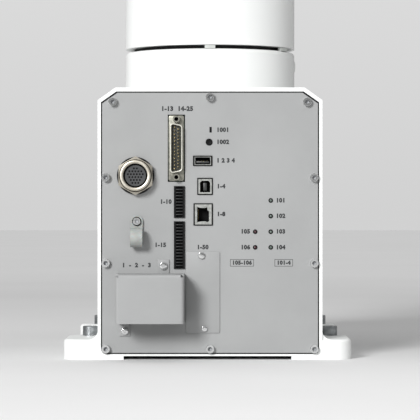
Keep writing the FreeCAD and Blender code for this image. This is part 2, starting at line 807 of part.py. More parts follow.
# Lamps, power window, reset button with its switch, and the board that carries them
def make_controls():
    lenses = []
    for column, row in LAMPS:
        at = lamp_place(column, row)
        lenses.append(rod("lamp_radius", f"{PANEL_FACE} - 0.4", BOARD_FACE, at, "y"))
    node("green_lamps", group(*lenses[:4]))
    node("red_lamps", group(*lenses[4:]))
    node("power_window", panel_block("window_x", "window_z", "window_width", "window_height",
                                     f"{PANEL_FACE} - panel_clear", BOARD_FACE))
    at = ("reset_x", "reset_z")
    cap_back = f"{PANEL_BACK} + 0.6"
    cap = rod("reset_radius", f"{PANEL_FACE} - reset_proud", cap_back, at, "y")
    stem = rod("reset_stem_radius", cap_back, f"{BOARD_FACE} - 3", at, "y")
    node("reset_button", join(cap, stem))
    switch = panel_block(*at, "reset_switch_width", "reset_switch_width",
                         f"{cap_back} + reset_travel + clearance", BOARD_FACE)
    guide = rod("reset_stem_radius + 0.08", cap_back, f"{BOARD_FACE} - 1.2", at, "y")
    node("reset_switch", cut(switch, guide))
    left = "board_left_inset - base_width / 2"
    right = "base_width / 2 - board_right_inset"
    low = "base_height / 2 - board_drop"
    high = "base_height - board_top_inset"
    board = block((left, right), (BOARD_FACE, f"{BOARD_FACE} + board_thickness"), (low, high))
    posts = []
    for x in (f"{left} + standoff_inset", f"{right} - standoff_inset"):
        for z in (f"{low} + standoff_inset", f"{high} - standoff_inset"):
            posts.append(rod("standoff_radius", PANEL_BACK, BOARD_FACE, (x, z), "y"))
    node("control_board", join(board, *posts))


# Option plate, cable clip, and the bent sheet cover over the mains inlet
def make_fittings():
    plate = panel_block("option_x", "option_z", "option_width", "option_height",
                        f"{PANEL_FACE} - option_thickness", PANEL_FACE)
    plate = rounded(plate, "1.2", lambda edge, middle: is_line(edge, 1))
    screws = small_screws()
    holes = [rod("screw_radius + screw_clear", f"{PANEL_FACE} - 4", f"{PANEL_FACE} + 1", spot, "y")
             for spot, _ in screws]
    node("option_plate", cut(plate, holes[0], holes[1]))

    half = "clip_width / 2"
    across = (f"clip_x - {half}", f"clip_x + {half}")
    centre_y = f"{PANEL_FACE} - clip_loop_radius"
    loop = rod("clip_loop_radius", *across, (centre_y, "clip_loop_z"), "x")
    tail = block(across, (f"{PANEL_FACE} - 2 * clip_thickness", PANEL_FACE),
                 ("clip_loop_z", f"clip_screw_z + {half}"))
    eye = rod("clip_loop_radius - clip_thickness", f"{across[0]} - 1", f"{across[1]} + 1",
              (centre_y, "clip_loop_z"), "x")
    top = amount(f"clip_screw_z + {half}")
    tail = rounded(tail, f"{half} - 0.5", lambda edge, middle: is_line(edge, 1) and near(middle.z, top))
    node("cable_clip", cut(join(loop, tail), eye, holes[2]))

    wide = "inlet_cover_width / 2"
    tall = "inlet_cover_height / 2"
    front = f"{PANEL_FACE} - inlet_cover_proud"
    skin = "inlet_cover_sheet"
    box = block((f"inlet_x - {wide}", f"inlet_x + {wide}"), (front, PANEL_FACE),
                (f"inlet_z - {tall}", f"inlet_z + {tall}"))
    inside = block((f"inlet_x - {wide} + {skin}", f"inlet_x + {wide} - {skin}"),
                   (f"{front} + {skin}", f"{PANEL_FACE} + 1"),
                   (f"inlet_z - {tall} - 1", f"inlet_z + {tall} - {skin}"))
    notches = []
    for way in ("-", "+"):
        middle = f"inlet_x {way} ({wide} - 1)"
        notches.append(block((f"{middle} - 1", f"{middle} + 1"), (f"{front} - 1", f"{front} + 2.5"),
                             (f"inlet_z + {tall} - 2", f"inlet_z + {tall} + 1")))
    upper_x, upper_z = screws[3][0]
    lower_x, lower_z = screws[4][0]
    upper_tab = block((f"{upper_x} - 5", f"{upper_x} + 5"), (f"{PANEL_FACE} - {skin}", PANEL_FACE),
                      (f"inlet_z + {tall} - {skin}", f"{upper_z} + 5"))
    strip = (f"{lower_x} - 4.3", f"{lower_x} + 4.3")
    lower_strip = block(strip, (front, PANEL_FACE), (f"inlet_z - {tall}", f"inlet_z - {tall} + {skin}"))
    lower_tab = block(strip, (f"{PANEL_FACE} - {skin}", PANEL_FACE),
                      (f"{lower_z} - 5", f"inlet_z - {tall} + {skin}"))
    cover = join(cut(box, inside, *notches), upper_tab, lower_strip, lower_tab)
    node("inlet_cover", cut(cover, holes[3], holes[4]))

    heads = []
    for spot, seat in screws:
        heads.append(screw("small_head_radius", "small_head_height", f"{PANEL_FACE} - {seat}", spot, "y", 1,
                           "screw_bite"))
    node("fitting_screws", group(*heads))

    face = f"{PANEL_FACE} - inlet_flange_thickness"
    bottom = f"{PANEL_FACE} + inlet_mouth_depth"
    at = ("inlet_x", "inlet_z")
    flange = panel_block(*at, "inlet_flange_width", "inlet_flange_height", face, PANEL_FACE)
    body = panel_block(*at, "inlet_body_width", "inlet_body_height", PANEL_FACE,
                       f"{PANEL_FACE} + inlet_body_depth")
    socket = panel_block(*at, "inlet_body_width - 2 * inlet_wall", "inlet_body_height - 2 * inlet_wall",
                         f"{face} - 1", bottom)
    pins = [panel_block(f"inlet_x + {x}", f"inlet_z + {z}", "2", "4", f"{face} + 2", f"{bottom} + 1")
            for x, z in (("-7", "-2"), ("0", "2"), ("7", "-2"))]
    node("mains_inlet", join(cut(join(flange, body), socket), *pins))


# Power supply and drive board inside the base
def make_electronics():
    floor = "casting_wall + panel_rim_end"
    supply = block(("supply_left_inset - base_width / 2", "base_width / 2 - supply_right_inset"),
                   ("supply_start - rear_reach", "supply_start + supply_length - rear_reach"),
                   (floor, f"{floor} + supply_height"))
    node("power_supply", rounded(supply, "3", lambda edge, middle: is_line(edge, 2)))
    wall = "base_width / 2 - casting_wall - panel_rim_side"
    low = "drive_board_low"
    high = "base_height - drive_board_top_inset"
    start = "drive_board_start - rear_reach"
    end = "front_reach - drive_board_end"
    board = block((f"{wall} - drive_board_gap - board_thickness", f"{wall} - drive_board_gap"),
                  (start, end), (low, high))
    posts = []
    for y in (f"{start} + drive_post_inset", f"{end} - drive_post_inset"):
        for z in (f"{low} + drive_post_inset", f"{high} - drive_post_inset"):
            posts.append(rod("drive_post_radius", f"{wall} - drive_board_gap", wall, (y, z), "x"))
    node("drive_board", join(board, *posts))


# A piece of a flat ring about the column axis, by its middle angle and its width along the arc
def ring_piece(inner, depth, low, high, angle, width):
    spread = f"({width}) / ({inner} + {depth}) * 180 / pi"
    pieces = []
    for radius, lower, upper in ((f"{inner} + {depth}", low, high), (inner, f"{low} - 1", f"{high} + 1")):
        sector = rod(radius, lower, upper)
        if not pieces:
            sector.setExpression("Angle", formula(spread))
            start = amount(f"({angle}) - ({spread}) / 2")
            sector.Placement.Rotation = FreeCAD.Rotation(FreeCAD.Vector(0, 0, 1), start)
        pieces.append(sector)
    return cut(*pieces)


# Turning joint: drive unit and bearing in the neck, seal ring and blocks in the gap
def make_first_joint():
    seat = f"{NECK_TOP} - j1_seat_depth"
    race = f"{seat} + j1_flange_thickness"
    motor = rod("j1_motor_radius", "base_height - j1_motor_drop", "base_height - j1_drive_drop")
    reducer = rod("j1_drive_radius", "base_height - j1_drive_drop", seat)
    flange = rod("bearing_outer_radius", seat, race)
    node("j1_drive_unit", join(motor, reducer, flange))
    node("j1_bearing_outer_ring", tube("bearing_outer_radius", "bearing_race_radius", race,
                                       f"{NECK_TOP} - clearance"))
    node("gap_seal_ring", tube("seal_inner_radius + seal_width", "seal_inner_radius", NECK_TOP,
                               f"{TURRET_LOW} - clearance"))
    node("gap_stop_block", ring_piece("stop_inner_radius", "stop_depth", NECK_TOP, f"{TURRET_LOW} - clearance",
                                      "-90", "stop_width"))
    node("gap_spacer_block", ring_piece("spacer_inner_radius", "spacer_depth", NECK_TOP,
                                        f"{TURRET_LOW} - clearance", "-90 + spacer_angle", "spacer_width"))
    node("j1_stop_lug", ring_piece("stop_inner_radius", "lug_depth", f"{NECK_TOP} + clearance", TURRET_LOW,
                                   "90", "stop_width"))
    node("j1_bearing_inner_ring", tube("bearing_race_radius - fit_clear", "bearing_inner_radius",
                                       f"{race} + clearance", TURRET_LOW))
    node("j1_output_flange", rod("bearing_inner_radius - 2 * fit_clear", f"{race} + clearance", TURRET_LOW))


# Turret: the round column carries a web and the shoulder drum
def make_turret():
    column_top = f"{TURRET_LOW} + turret_column_height"
    column = rounded(rod("column_radius", TURRET_LOW, column_top), "turret_edge_radius",
                     lambda edge, middle: edge.Closed and near(middle.z, amount(column_top)))
    back = "web_back_angle"
    front = "-web_front_angle"

    def on_drum(angle):
        return (f"shoulder_forward + drum_radius * cos({angle})",
                f"shoulder_height + drum_radius * sin({angle})")

    back_y, back_z = on_drum(back)
    front_y, front_z = on_drum(front)
    outline = [
        ("-column_radius", f"{TURRET_LOW} + web_back_height"),
        ("column_radius", f"{front_z} - ({front_y} - column_radius) * tan(90 + ({front}))"),
        (front_y, front_z),
        ("shoulder_forward", "shoulder_height"),
        (back_y, back_z),
        ("-column_radius", f"{back_z} - ({back_y} + column_radius) * tan({back} - 90)"),
    ]
    side = outline_body("YZ_Plane", "-web_left", outline, "web_left + arm_side")
    centre = FreeCAD.Vector(0, amount("shoulder_forward"), amount("shoulder_height"))

    # The long edges that run from the column up to the drum
    def is_web_edge(edge, middle):
        if edge.Curve.TypeId != "Part::GeomLine":
            return False
        if min(abs(edge.Curve.Direction.y), abs(edge.Curve.Direction.z)) < 0.3:
            return False
        return middle.distanceToPoint(centre + FreeCAD.Vector(middle.x)) > amount("drum_radius")

    side = rounded(side, "web_edge_radius", is_web_edge)
    plan = join(rod("column_radius", TURRET_LOW, f"{back_z} + 20"),
                block(("-web_left", "arm_side"), ("0", "shoulder_forward + drum_radius"),
                      (TURRET_LOW, f"{back_z} + 20")))
    web = overlap(side, plan)
    drum = rod("drum_radius", "-drum_left", "arm_side", SHOULDER, "x")
    hollow = rod("column_radius - column_wall", f"{TURRET_LOW} + column_floor",
                 f"{column_top} - column_floor")
    drum_bore = rod("drum_radius - drum_wall", "-drum_left - 1", "arm_side - drum_wall", SHOULDER, "x")
    mouth = rod("j2_flange_radius + flange_mouth_gap", "0", "arm_side + 1", SHOULDER, "x")
    screw_ring = "drum_radius - drum_wall / 2"
    holes = ring_holes(screw_ring, "-drum_left - cover_thickness", SHOULDER, "x", 8, 1,
                       "cover_thickness + screw_bite")
    node("turret_casting", cut(join(column, web, drum), hollow, drum_bore, mouth, *holes))
    face = amount("-drum_left - cover_thickness")
    cover = rounded(rod("drum_radius", "-drum_left - cover_thickness", "-drum_left", SHOULDER, "x"),
                    "cover_thickness - 1.5", lambda edge, middle: edge.Closed and near(middle.x, face))
    seat = "-drum_left - cover_thickness + cover_screw_seat"
    seats = [rod("cover_head_radius + clearance", "-drum_left - cover_thickness - 1", seat,
                 spot, "x") for spot in ring_spots(screw_ring, SHOULDER, 8)]
    node("turret_side_cover", cut(cover, *holes, *seats))
    node("turret_cover_screws", group(*ring_screws(screw_ring, seat, SHOULDER, "x", 8, 1, "screw_bite")))
    motor_end = "-drum_left + motor_inset + j2_motor_length"
    inner_wall = "arm_side - drum_wall"
    motor = rod("j2_motor_radius", "-drum_left + motor_inset", motor_end, SHOULDER, "x")
    reducer = rod("drum_radius - drum_wall - fit_clear", motor_end, inner_wall, SHOULDER, "x")
    recess = rod("j2_flange_radius + flange_mouth_gap / 2", f"{inner_wall} - flange_recess",
                 f"{inner_wall} + 1", SHOULDER, "x")
    node("j2_drive_unit", cut(join(motor, reducer), recess))


def ring_spots(ring_radius, at, count):
    spots = []
    for number in range(count):
        angle = f"{(number + 0.5) * 360 / count}"
        spots.append((f"{at[0]} + ({ring_radius}) * cos({angle})",
                      f"{at[1]} + ({ring_radius}) * sin({angle})"))
    return spots


def ring_holes(ring_radius, seat, at, along, count, inward, bite):
    return [screw_hole(seat, spot, along, inward, bite) for spot in ring_spots(ring_radius, at, count)]


def ring_screws(ring_radius, seat, at, along, count, inward, bite):
    return [screw("cover_head_radius", "cover_head_height", seat, spot, along, inward, bite)
            for spot in ring_spots(ring_radius, at, count)]


# Lower arm: two round ends and a waist, hollow from the side, with a cover plate
ARM_INNER = "arm_side + arm_gap"
ARM_OUTER = "arm_side + arm_gap + arm_depth"


def arm_slab(start, end, inset):
    low = rod(f"arm_low_radius - ({inset})", start, end, SHOULDER, "x")
    high = rod(f"arm_high_radius - ({inset})", start, end, ELBOW, "x")
    waist = block((start, end), (f"shoulder_forward - arm_waist + ({inset})",
                                 f"shoulder_forward + arm_waist - ({inset})"),
                  ("shoulder_height", ELBOW_Z))
    middle_y = amount("shoulder_forward")
    half = amount(f"arm_waist - ({inset})")
    return rounded(join(low, waist, high), "arm_waist_fillet",
                   lambda edge, middle: is_line(edge, 0) and near(abs(middle.y - middle_y), half))


def arm_cover_spots():
    low = "(arm_low_radius - arm_wall / 2)"
    high = "(arm_high_radius - arm_wall / 2)"
    spots = []
    for angle in (-150, -90, -30, 20, 160):
        spots.append((f"shoulder_forward + {low} * cos({angle})", f"shoulder_height + {low} * sin({angle})"))
    for angle in (-20, 30, 90, 150, 200):
        spots.append((f"shoulder_forward + {high} * cos({angle})", f"{ELBOW_Z} + {high} * sin({angle})"))
    for way in ("-", "+"):
        spots.append((f"shoulder_forward {way} (arm_waist - arm_wall / 2)",
                      "shoulder_height + upper_length / 2"))
    return spots


def make_lower_arm():
    holes = [screw_hole(f"{ARM_OUTER} + arm_cover_thickness", spot, "x", -1,
                        "arm_cover_thickness + screw_bite") for spot in arm_cover_spots()]
    casting = arm_slab(ARM_INNER, ARM_OUTER, "0")
    inner_face = amount(ARM_INNER)
    casting = rounded(casting, "3", lambda edge, middle: near(middle.x, inner_face))
    pocket = arm_slab(f"{ARM_INNER} + arm_floor", f"{ARM_OUTER} + 1", "arm_wall")
    node("lower_arm_casting", cut(casting, pocket, *holes))
    cover_face = f"{ARM_OUTER} + arm_cover_thickness"
    cover = arm_slab(ARM_OUTER, cover_face, "0")
    outer_face = amount(cover_face)
    cover = rounded(cover, "2", lambda edge, middle: near(middle.x, outer_face))
    node("lower_arm_cover", cut(cover, *holes))
    heads = [screw("cover_head_radius - 0.6", "cover_head_height", cover_face, spot, "x", -1,
                   "arm_cover_thickness + screw_bite") for spot in arm_cover_spots()]
    node("lower_arm_cover_screws", group(*heads))
    node("j2_output_flange", rod("j2_flange_radius", "arm_side - drum_wall - flange_recess + clearance",
                                 ARM_INNER, SHOULDER, "x"))
    node("j3_output_flange", rod("j3_flange_radius", "arm_side - elbow_wall - flange_recess + clearance",
                                 ARM_INNER, ELBOW, "x"))


# Elbow: a drum on the elbow axis and a tube on the roll axis, each closed by a cover
def make_elbow():
    rear = "shoulder_forward - roll_rear"
    front = "shoulder_forward + roll_front"
    drum = rod("elbow_radius", "-arm_side", "arm_side", ELBOW, "x")
    rear_tube = rod("roll_radius", rear, front, ROLL, "y")
    drum_bore = rod("elbow_radius - elbow_wall", "-arm_side - 1", "arm_side - elbow_wall", ELBOW, "x")
    drum_mouth = rod("j3_flange_radius + flange_mouth_gap", "0", "arm_side + 1", ELBOW, "x")
    tube_bore = rod("roll_radius - elbow_wall", f"{rear} - 1", f"{front} - roll_lip", ROLL, "y")
    tube_mouth = rod("j4_flange_radius + flange_mouth_gap", rear, f"{front} + 1", ROLL, "y")
    end_ring = "elbow_radius - elbow_wall / 2"
    rear_ring = "roll_radius - elbow_wall / 2"
    end_holes = ring_holes(end_ring, "-arm_side - cover_thickness", ELBOW, "x", 6, 1,
                           "cover_thickness + screw_bite")
    rear_holes = ring_holes(rear_ring, f"{rear} - cover_thickness", ROLL, "y", 6, 1,
                            "cover_thickness + screw_bite")
    body = rounded(join(drum, rear_tube), "elbow_blend",
                   lambda edge, middle: "BSpline" in edge.Curve.TypeId)
    node("elbow_casting", cut(body, drum_bore, drum_mouth, tube_bore, tube_mouth,
                              *end_holes, *rear_holes))
    end_face = amount("-arm_side - cover_thickness")
    end_cover = rounded(rod("elbow_radius", "-arm_side - cover_thickness", "-arm_side", ELBOW, "x"),
                        "cover_thickness - 1.5",
                        lambda edge, middle: edge.Closed and near(middle.x, end_face))
    end_seat = "-arm_side - cover_thickness + cover_screw_seat"
    end_seats = [rod("cover_head_radius + clearance", "-arm_side - cover_thickness - 1", end_seat,
                     spot, "x") for spot in ring_spots(end_ring, ELBOW, 6)]
    node("elbow_end_cover", cut(end_cover, *end_holes, *end_seats))
    rear_face = amount(f"{rear} - cover_thickness")
    rear_cover = rounded(rod("roll_radius", f"{rear} - cover_thickness", rear, ROLL, "y"),
                         "cover_thickness - 1.5",
                         lambda edge, middle: edge.Closed and near(middle.y, rear_face))
    rear_seat = f"{rear} - cover_thickness + cover_screw_seat"
    rear_seats = [rod("cover_head_radius + clearance", f"{rear} - cover_thickness - 1", rear_seat,
                      spot, "y") for spot in ring_spots(rear_ring, ROLL, 6)]
    node("elbow_rear_cover", cut(rear_cover, *rear_holes, *rear_seats))
    heads = ring_screws(end_ring, end_seat, ELBOW, "x", 6, 1, "screw_bite")
    heads += ring_screws(rear_ring, rear_seat, ROLL, "y", 6, 1, "screw_bite")
    node("elbow_cover_screws", group(*heads))
    motor_end = "-arm_side + motor_inset + j3_motor_length"
    inner_wall = "arm_side - elbow_wall"
    motor = rod("j3_motor_radius", "-arm_side + motor_inset", motor_end, ELBOW, "x")
    reducer = rod("elbow_radius - elbow_wall - fit_clear", motor_end, inner_wall, ELBOW, "x")
    recess = rod("j3_flange_radius + flange_mouth_gap / 2", f"{inner_wall} - flange_recess", "arm_side",
                 ELBOW, "x")
    node("j3_drive_unit", cut(join(motor, reducer), recess))
    roll_unit = rod("roll_radius - elbow_wall - fit_clear", f"{front} - roll_lip - j4_drive_length",
                    f"{front} - roll_lip", ROLL, "y")
    roll_recess = rod("j4_flange_radius + flange_mouth_gap / 2", f"{front} - roll_lip - flange_recess",
                      front, ROLL, "y")
    node("j4_drive_unit", cut(roll_unit, roll_recess))


# Forearm: a tapered tube that ends in a fork for the wrist
def make_forearm():
    rear = "shoulder_forward + roll_front + arm_gap"
    half_fork = "fork_width / 2"
    barrel = cone("forearm_rear_radius", "forearm_front_radius", rear, f"{WRIST_Y} - slot_reach + 14",
                  ROLL, "y")
    prongs = block((f"-{half_fork}", half_fork), (f"{WRIST_Y} - fork_root", WRIST_Y),
                   (f"{ROLL_Z} - fork_half_height", f"{ROLL_Z} + fork_half_height"))
    back = amount(f"{WRIST_Y} - fork_root")
    prongs = rounded(prongs, "fork_edge_radius",
                     lambda edge, middle: is_line(edge, 1) or near(middle.y, back))
    ends = rod("fork_half_height", f"-{half_fork}", half_fork, WRIST, "x")
    slot = block(("-slot_width / 2", "slot_width / 2"),
                 (f"{WRIST_Y} - slot_reach", f"{WRIST_Y} + fork_half_height + 1"),
                 (f"{ROLL_Z} - 60", f"{ROLL_Z} + 60"))
    hollow = rod("forearm_front_radius - forearm_wall", f"{rear} + forearm_wall",
                 f"{WRIST_Y} - slot_reach - 9", ROLL, "y")
    screw_ring = "fork_screw_ring"
    holes = []
    covers = []
    for side, inward in (("-", 1), ("+", -1)):
        face = f"0 {side} ({half_fork} + fork_cover_thickness)"
        seat = f"0 {side} {half_fork}"
        start, end = (face, seat) if side == "-" else (seat, face)
        outer = amount(face)
        disc = rounded(rod("fork_half_height - fork_cover_inset", start, end, WRIST, "x"), "1.8",
                       lambda edge, middle: edge.Closed and near(middle.x, outer))
        drilled = ring_holes(screw_ring, face, WRIST, "x", 4, inward, "9")
        covers.append(cut(disc, *drilled))
        covers += [screw("cover_head_radius - 0.8", "1.6", face, spot, "x", inward, "9")
                   for spot in ring_spots(screw_ring, WRIST, 4)]
        holes += drilled
    node("forearm_casting", cut(join(barrel, prongs, ends), slot, hollow, *holes))
    node("wrist_covers", group(covers[0], covers[5]))
    node("wrist_cover_screws", group(*covers[1:5], *covers[6:]))
    flange_back = "shoulder_forward + roll_front - roll_lip - flange_recess + clearance"
    node("j4_output_flange", rod("j4_flange_radius", flange_back, rear, ROLL, "y"))
    hub = rod("hub_radius", "slot_width / 2 - hub_depth", "slot_width / 2", WRIST, "x")
    journal = rod("journal_radius - fit_clear", "-slot_width / 2", "-slot_width / 2 + hub_depth", WRIST, "x")
    node("wrist_hubs", group(hub, journal))


# Wrist and tool flange
def make_wrist():
    half = "slot_width / 2 - arm_gap"
    drum = rod("wrist_radius", f"-({half})", half, WRIST, "x")
    nose = rod("nose_radius", WRIST_Y, f"{WRIST_Y} + nose_length", ROLL, "y")
    face = "slot_width / 2 - hub_depth - clearance"
    unit = (f"{face} - j5_drive_length", face)
    unit_bore = rod("j5_drive_radius", *unit, WRIST, "x")
    hub_bore = rod("hub_radius + clearance", "0", "slot_width / 2", WRIST, "x")
    journal_bore = rod("journal_radius", "-slot_width / 2 - 1", "-slot_width / 2 + hub_depth + clearance",
                       WRIST, "x")
    nose_end = f"{WRIST_Y} + nose_length"
    nose_start = f"{nose_end} - j6_drive_length"
    nose_bore = rod("j6_drive_radius", nose_start, f"{nose_end} + 1", ROLL, "y")
    node("wrist_casting", cut(join(drum, nose), unit_bore, hub_bore, journal_bore, nose_bore))
    node("j5_drive_unit", rod("j5_drive_radius - fit_clear", *unit, WRIST, "x"))
    node("j6_drive_unit", rod("j6_drive_radius - fit_clear", nose_start, nose_end, ROLL, "y"))
    start = f"{WRIST_Y} + nose_length + arm_gap"
    plate = rod("flange_radius", start, f"{FACE_Y} - flange_step", ROLL, "y")
    step = rod("flange_face_radius", f"{FACE_Y} - flange_step", FACE_Y, ROLL, "y")
    pilot = rod("pilot_radius", f"{FACE_Y} - pilot_depth", f"{FACE_Y} + 1", ROLL, "y")
    holes = [rod("tool_hole_radius", f"{FACE_Y} - tool_hole_depth", f"{FACE_Y} + 1", spot, "y")
             for spot in ring_spots("tool_circle_radius", ROLL, 4)]
    node("tool_flange", cut(join(plate, step), pilot, *holes))


make_base()
make_panel()
make_d_connector()
make_circular_connector()
make_ports()
make_terminal_blocks()
make_controls()
make_fittings()
make_electronics()
make_first_joint()
make_turret()
make_lower_arm()
make_elbow()
make_forearm()
make_wrist()
doc.recompute()

failed = [thing for thing in doc.Objects if "Invalid" in thing.State or "Error" in thing.State]
if failed:
    used_by = [[user.Label for user in thing.InListRecursive if user in nodes] for thing in failed]
    raise RuntimeError(f"failed: {[thing.Label for thing in failed]}, used by {used_by}")
for thing in nodes:
    if thing.Shape.isNull() or not thing.Shape.isValid() or not thing.Shape.Solids:
        raise RuntimeError(f"{thing.Label} has no valid solid")

os.makedirs("parts", exist_ok=True)
for thing in nodes:
    thing.Shape.exportStep(f"parts/{thing.Label}.step")
print(len(nodes), "nodes,", sum(len(thing.Shape.Solids) for thing in nodes), "solids")
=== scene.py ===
from math import atan2, cos, hypot, pi, radians, sin, sqrt

import bmesh
import bpy
from mathutils import Matrix, Vector


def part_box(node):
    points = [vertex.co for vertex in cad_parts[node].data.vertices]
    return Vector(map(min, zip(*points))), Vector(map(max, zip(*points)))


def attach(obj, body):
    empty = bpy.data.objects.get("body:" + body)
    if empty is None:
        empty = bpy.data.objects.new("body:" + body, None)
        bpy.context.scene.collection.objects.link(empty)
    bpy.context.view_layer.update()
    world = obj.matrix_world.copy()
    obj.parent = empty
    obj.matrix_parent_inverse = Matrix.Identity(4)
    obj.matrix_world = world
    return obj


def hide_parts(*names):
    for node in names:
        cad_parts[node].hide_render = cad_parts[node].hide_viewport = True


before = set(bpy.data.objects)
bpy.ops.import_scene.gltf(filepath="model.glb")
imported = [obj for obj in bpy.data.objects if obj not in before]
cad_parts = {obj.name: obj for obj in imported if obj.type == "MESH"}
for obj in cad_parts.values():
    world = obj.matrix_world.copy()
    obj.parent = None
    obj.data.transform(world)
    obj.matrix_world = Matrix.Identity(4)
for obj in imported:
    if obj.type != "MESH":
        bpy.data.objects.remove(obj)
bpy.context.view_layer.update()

scene = bpy.context.scene
scene.view_settings.view_transform = "Standard"

# Camera: level with the middle of the base, straight behind the robot's rear panel,
# with a long lens that takes in the base and the foot of the turning column.
eye_distance = 1.9
eye_height = 0.1213
panel_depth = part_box("rear_panel")[0].y
camera_data = bpy.data.cameras.new("camera")
camera_data.sensor_width = 36
camera_data.lens = 201.1
camera = bpy.data.objects.new("camera", camera_data)
camera.location = (0, panel_depth - eye_distance, eye_height)
camera.rotation_euler = (radians(90), 0, 0)
scene.collection.objects.link(camera)
scene.camera = camera


# Floor: a wide table top of pale paper. Its colour carries painted light and shade along the depth: lightest
# towards the camera, a dark band under the robot, a little lighter just behind it and darker grey further
# back. Finishes are two close shades that drift over a surface and a fine relief.
def linear(shade):
    parts = [int(shade[place:place + 2], 16) / 255 for place in (1, 3, 5)]
    return [part / 12.92 if part <= 0.04045 else ((part + 0.055) / 1.055) ** 2.4 for part in parts] + [1]


def add_node(tree, kind, settings, links):
    added = tree.nodes.new(kind)
    for name, value in settings.items():
        if name == "shades":
            for element, shade in zip(added.color_ramp.elements, value):
                element.color = linear(shade)
        elif name in added.inputs:
            added.inputs[name].default_value = value
        else:
            setattr(added, name, value)
    for name, source in links.items():
        tree.links.new(source, added.inputs[name])
    return added


def finish(name, shades, patch, grain, depth, sockets, stretch=(1, 1, 1)):
    material = bpy.data.materials.new(name)
    material.use_nodes = True
    tree = material.node_tree
    shader = tree.nodes["Principled BSDF"]
    for socket, value in sockets.items():
        shader.inputs[socket].default_value = value
    place = add_node(tree, "ShaderNodeTexCoord", {}, {})
    drift = add_node(tree, "ShaderNodeTexNoise", {"Scale": 1 / patch, "Detail": 4},
                     {"Vector": place.outputs["Object"]})
    ramp = add_node(tree, "ShaderNodeValToRGB", {"shades": shades}, {"Fac": drift.outputs[0]})
    ramp.color_ramp.elements[0].position = 0.35
    ramp.color_ramp.elements[1].position = 0.65
    tree.links.new(ramp.outputs["Color"], shader.inputs["Base Color"])
    drawn = add_node(tree, "ShaderNodeMapping", {"Scale": stretch}, {"Vector": place.outputs["Object"]})
    kind, settings = grain
    relief = add_node(tree, kind, settings, {"Vector": drawn.outputs["Vector"]})
    bump = add_node(tree, "ShaderNodeBump", {"Distance": depth, "Strength": 0.6},
                    {"Height": relief.outputs[0]})
    tree.links.new(bump.outputs["Normal"], shader.inputs["Normal"])
    return material


# The paper's colour is multiplied by a ramp over depth: painted light towards the camera and painted shade
# under and behind the robot.
paper = finish("matt_paper_painted_light_and_shade", ("#f6f6f6", "#f9f9f9"), 0.4,
               ("ShaderNodeTexNoise", {"Scale": 900, "Detail": 2}), 0.0001, {"Roughness": 0.95})
tree = paper.node_tree
place = add_node(tree, "ShaderNodeTexCoord", {}, {})
along = add_node(tree, "ShaderNodeSeparateXYZ", {}, {"Vector": place.outputs["Object"]})
depth = add_node(tree, "ShaderNodeMapRange", {"From Min": -1, "From Max": 3}, {"Value": along.outputs["Y"]})
painted_shade_ramp = add_node(tree, "ShaderNodeValToRGB", {}, {"Fac": depth.outputs["Result"]})
stops = painted_shade_ramp.color_ramp.elements
stops[0].position = 0.08
stops[0].color = linear("#ffffff")
stops[1].position = 0.875
stops[1].color = linear("#d3d3d3")
for position, shade in ((0.1625, "#f4f4f4"), (0.2075, "#e8e8e8"), (0.2325, "#dddddd"), (0.26, "#d2d2d2"),
                        (0.33, "#dadada"), (0.4, "#d5d5d5"), (0.55, "#cbcbcb")):
    stops.new(position).color = linear(shade)
shader = tree.nodes["Principled BSDF"]
drifting = shader.inputs["Base Color"].links[0].from_socket
shaded = add_node(tree, "ShaderNodeVectorMath", {"operation": "MULTIPLY"}, {})
tree.links.new(drifting, shaded.inputs[0])
tree.links.new(painted_shade_ramp.outputs["Color"], shaded.inputs[1])
tree.links.new(shaded.outputs["Vector"], shader.inputs["Base Color"])
bm = bmesh.new()
bmesh.ops.create_grid(bm, x_segments=1, y_segments=1, size=12)
table = bpy.data.meshes.new("floor")
bm.to_mesh(table)
bm.free()
table.materials.append(paper)
floor = bpy.data.objects.new("floor", table)
scene.collection.objects.link(floor)

# Studio light: one large soft source on the left behind the camera, a white ceiling that fades
# down to dim walls, and an even grey backdrop far away, which only the camera sees.
key = bpy.data.lights.new("key_light", "SUN")
key.energy = 3.1
key.angle = radians(17)
key_holder = bpy.data.objects.new("key_light", key)
key_holder.rotation_euler = Vector((0.40, 0.84, -0.37)).to_track_quat("-Z", "Y").to_euler()
scene.collection.objects.link(key_holder)
room = bpy.data.worlds.new("studio")
room.use_nodes = True
tree = room.node_tree
looking = add_node(tree, "ShaderNodeTexCoord", {}, {})
height = add_node(tree, "ShaderNodeSeparateXYZ", {}, {"Vector": looking.outputs["Generated"]})
ceiling = add_node(tree, "ShaderNodeMapRange", {"To Min": 0.18, "To Max": 0.76,
                                                "interpolation_type": "SMOOTHSTEP"},
                   {"Value": height.outputs["Z"]})
backdrop = add_node(tree, "ShaderNodeMapRange", {"From Max": 0.1, "To Min": 0.64, "To Max": 0.71},
                    {"Value": height.outputs["Z"]})
lit = add_node(tree, "ShaderNodeBackground", {}, {"Strength": ceiling.outputs["Result"]})
seen = add_node(tree, "ShaderNodeBackground", {}, {"Strength": backdrop.outputs["Result"]})
for shown in (lit, seen):
    shown.inputs["Color"].default_value = linear("#ffffff")
ray = add_node(tree, "ShaderNodeLightPath", {}, {})
either = add_node(tree, "ShaderNodeMixShader", {}, {"Fac": ray.outputs["Is Camera Ray"]})
tree.links.new(lit.outputs["Background"], either.inputs[1])
tree.links.new(seen.outputs["Background"], either.inputs[2])
tree.links.new(either.outputs["Shader"], tree.nodes["World Output"].inputs["Surface"])
scene.world = room


# Base casting and the other white castings: aluminium, sand cast, then powder coated in the oven,
# which leaves an even satin skin with a faint orange peel. The covers get the same coat.
def dress(material, *names):
    for name in names:
        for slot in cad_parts[name].material_slots:
            slot.material = material


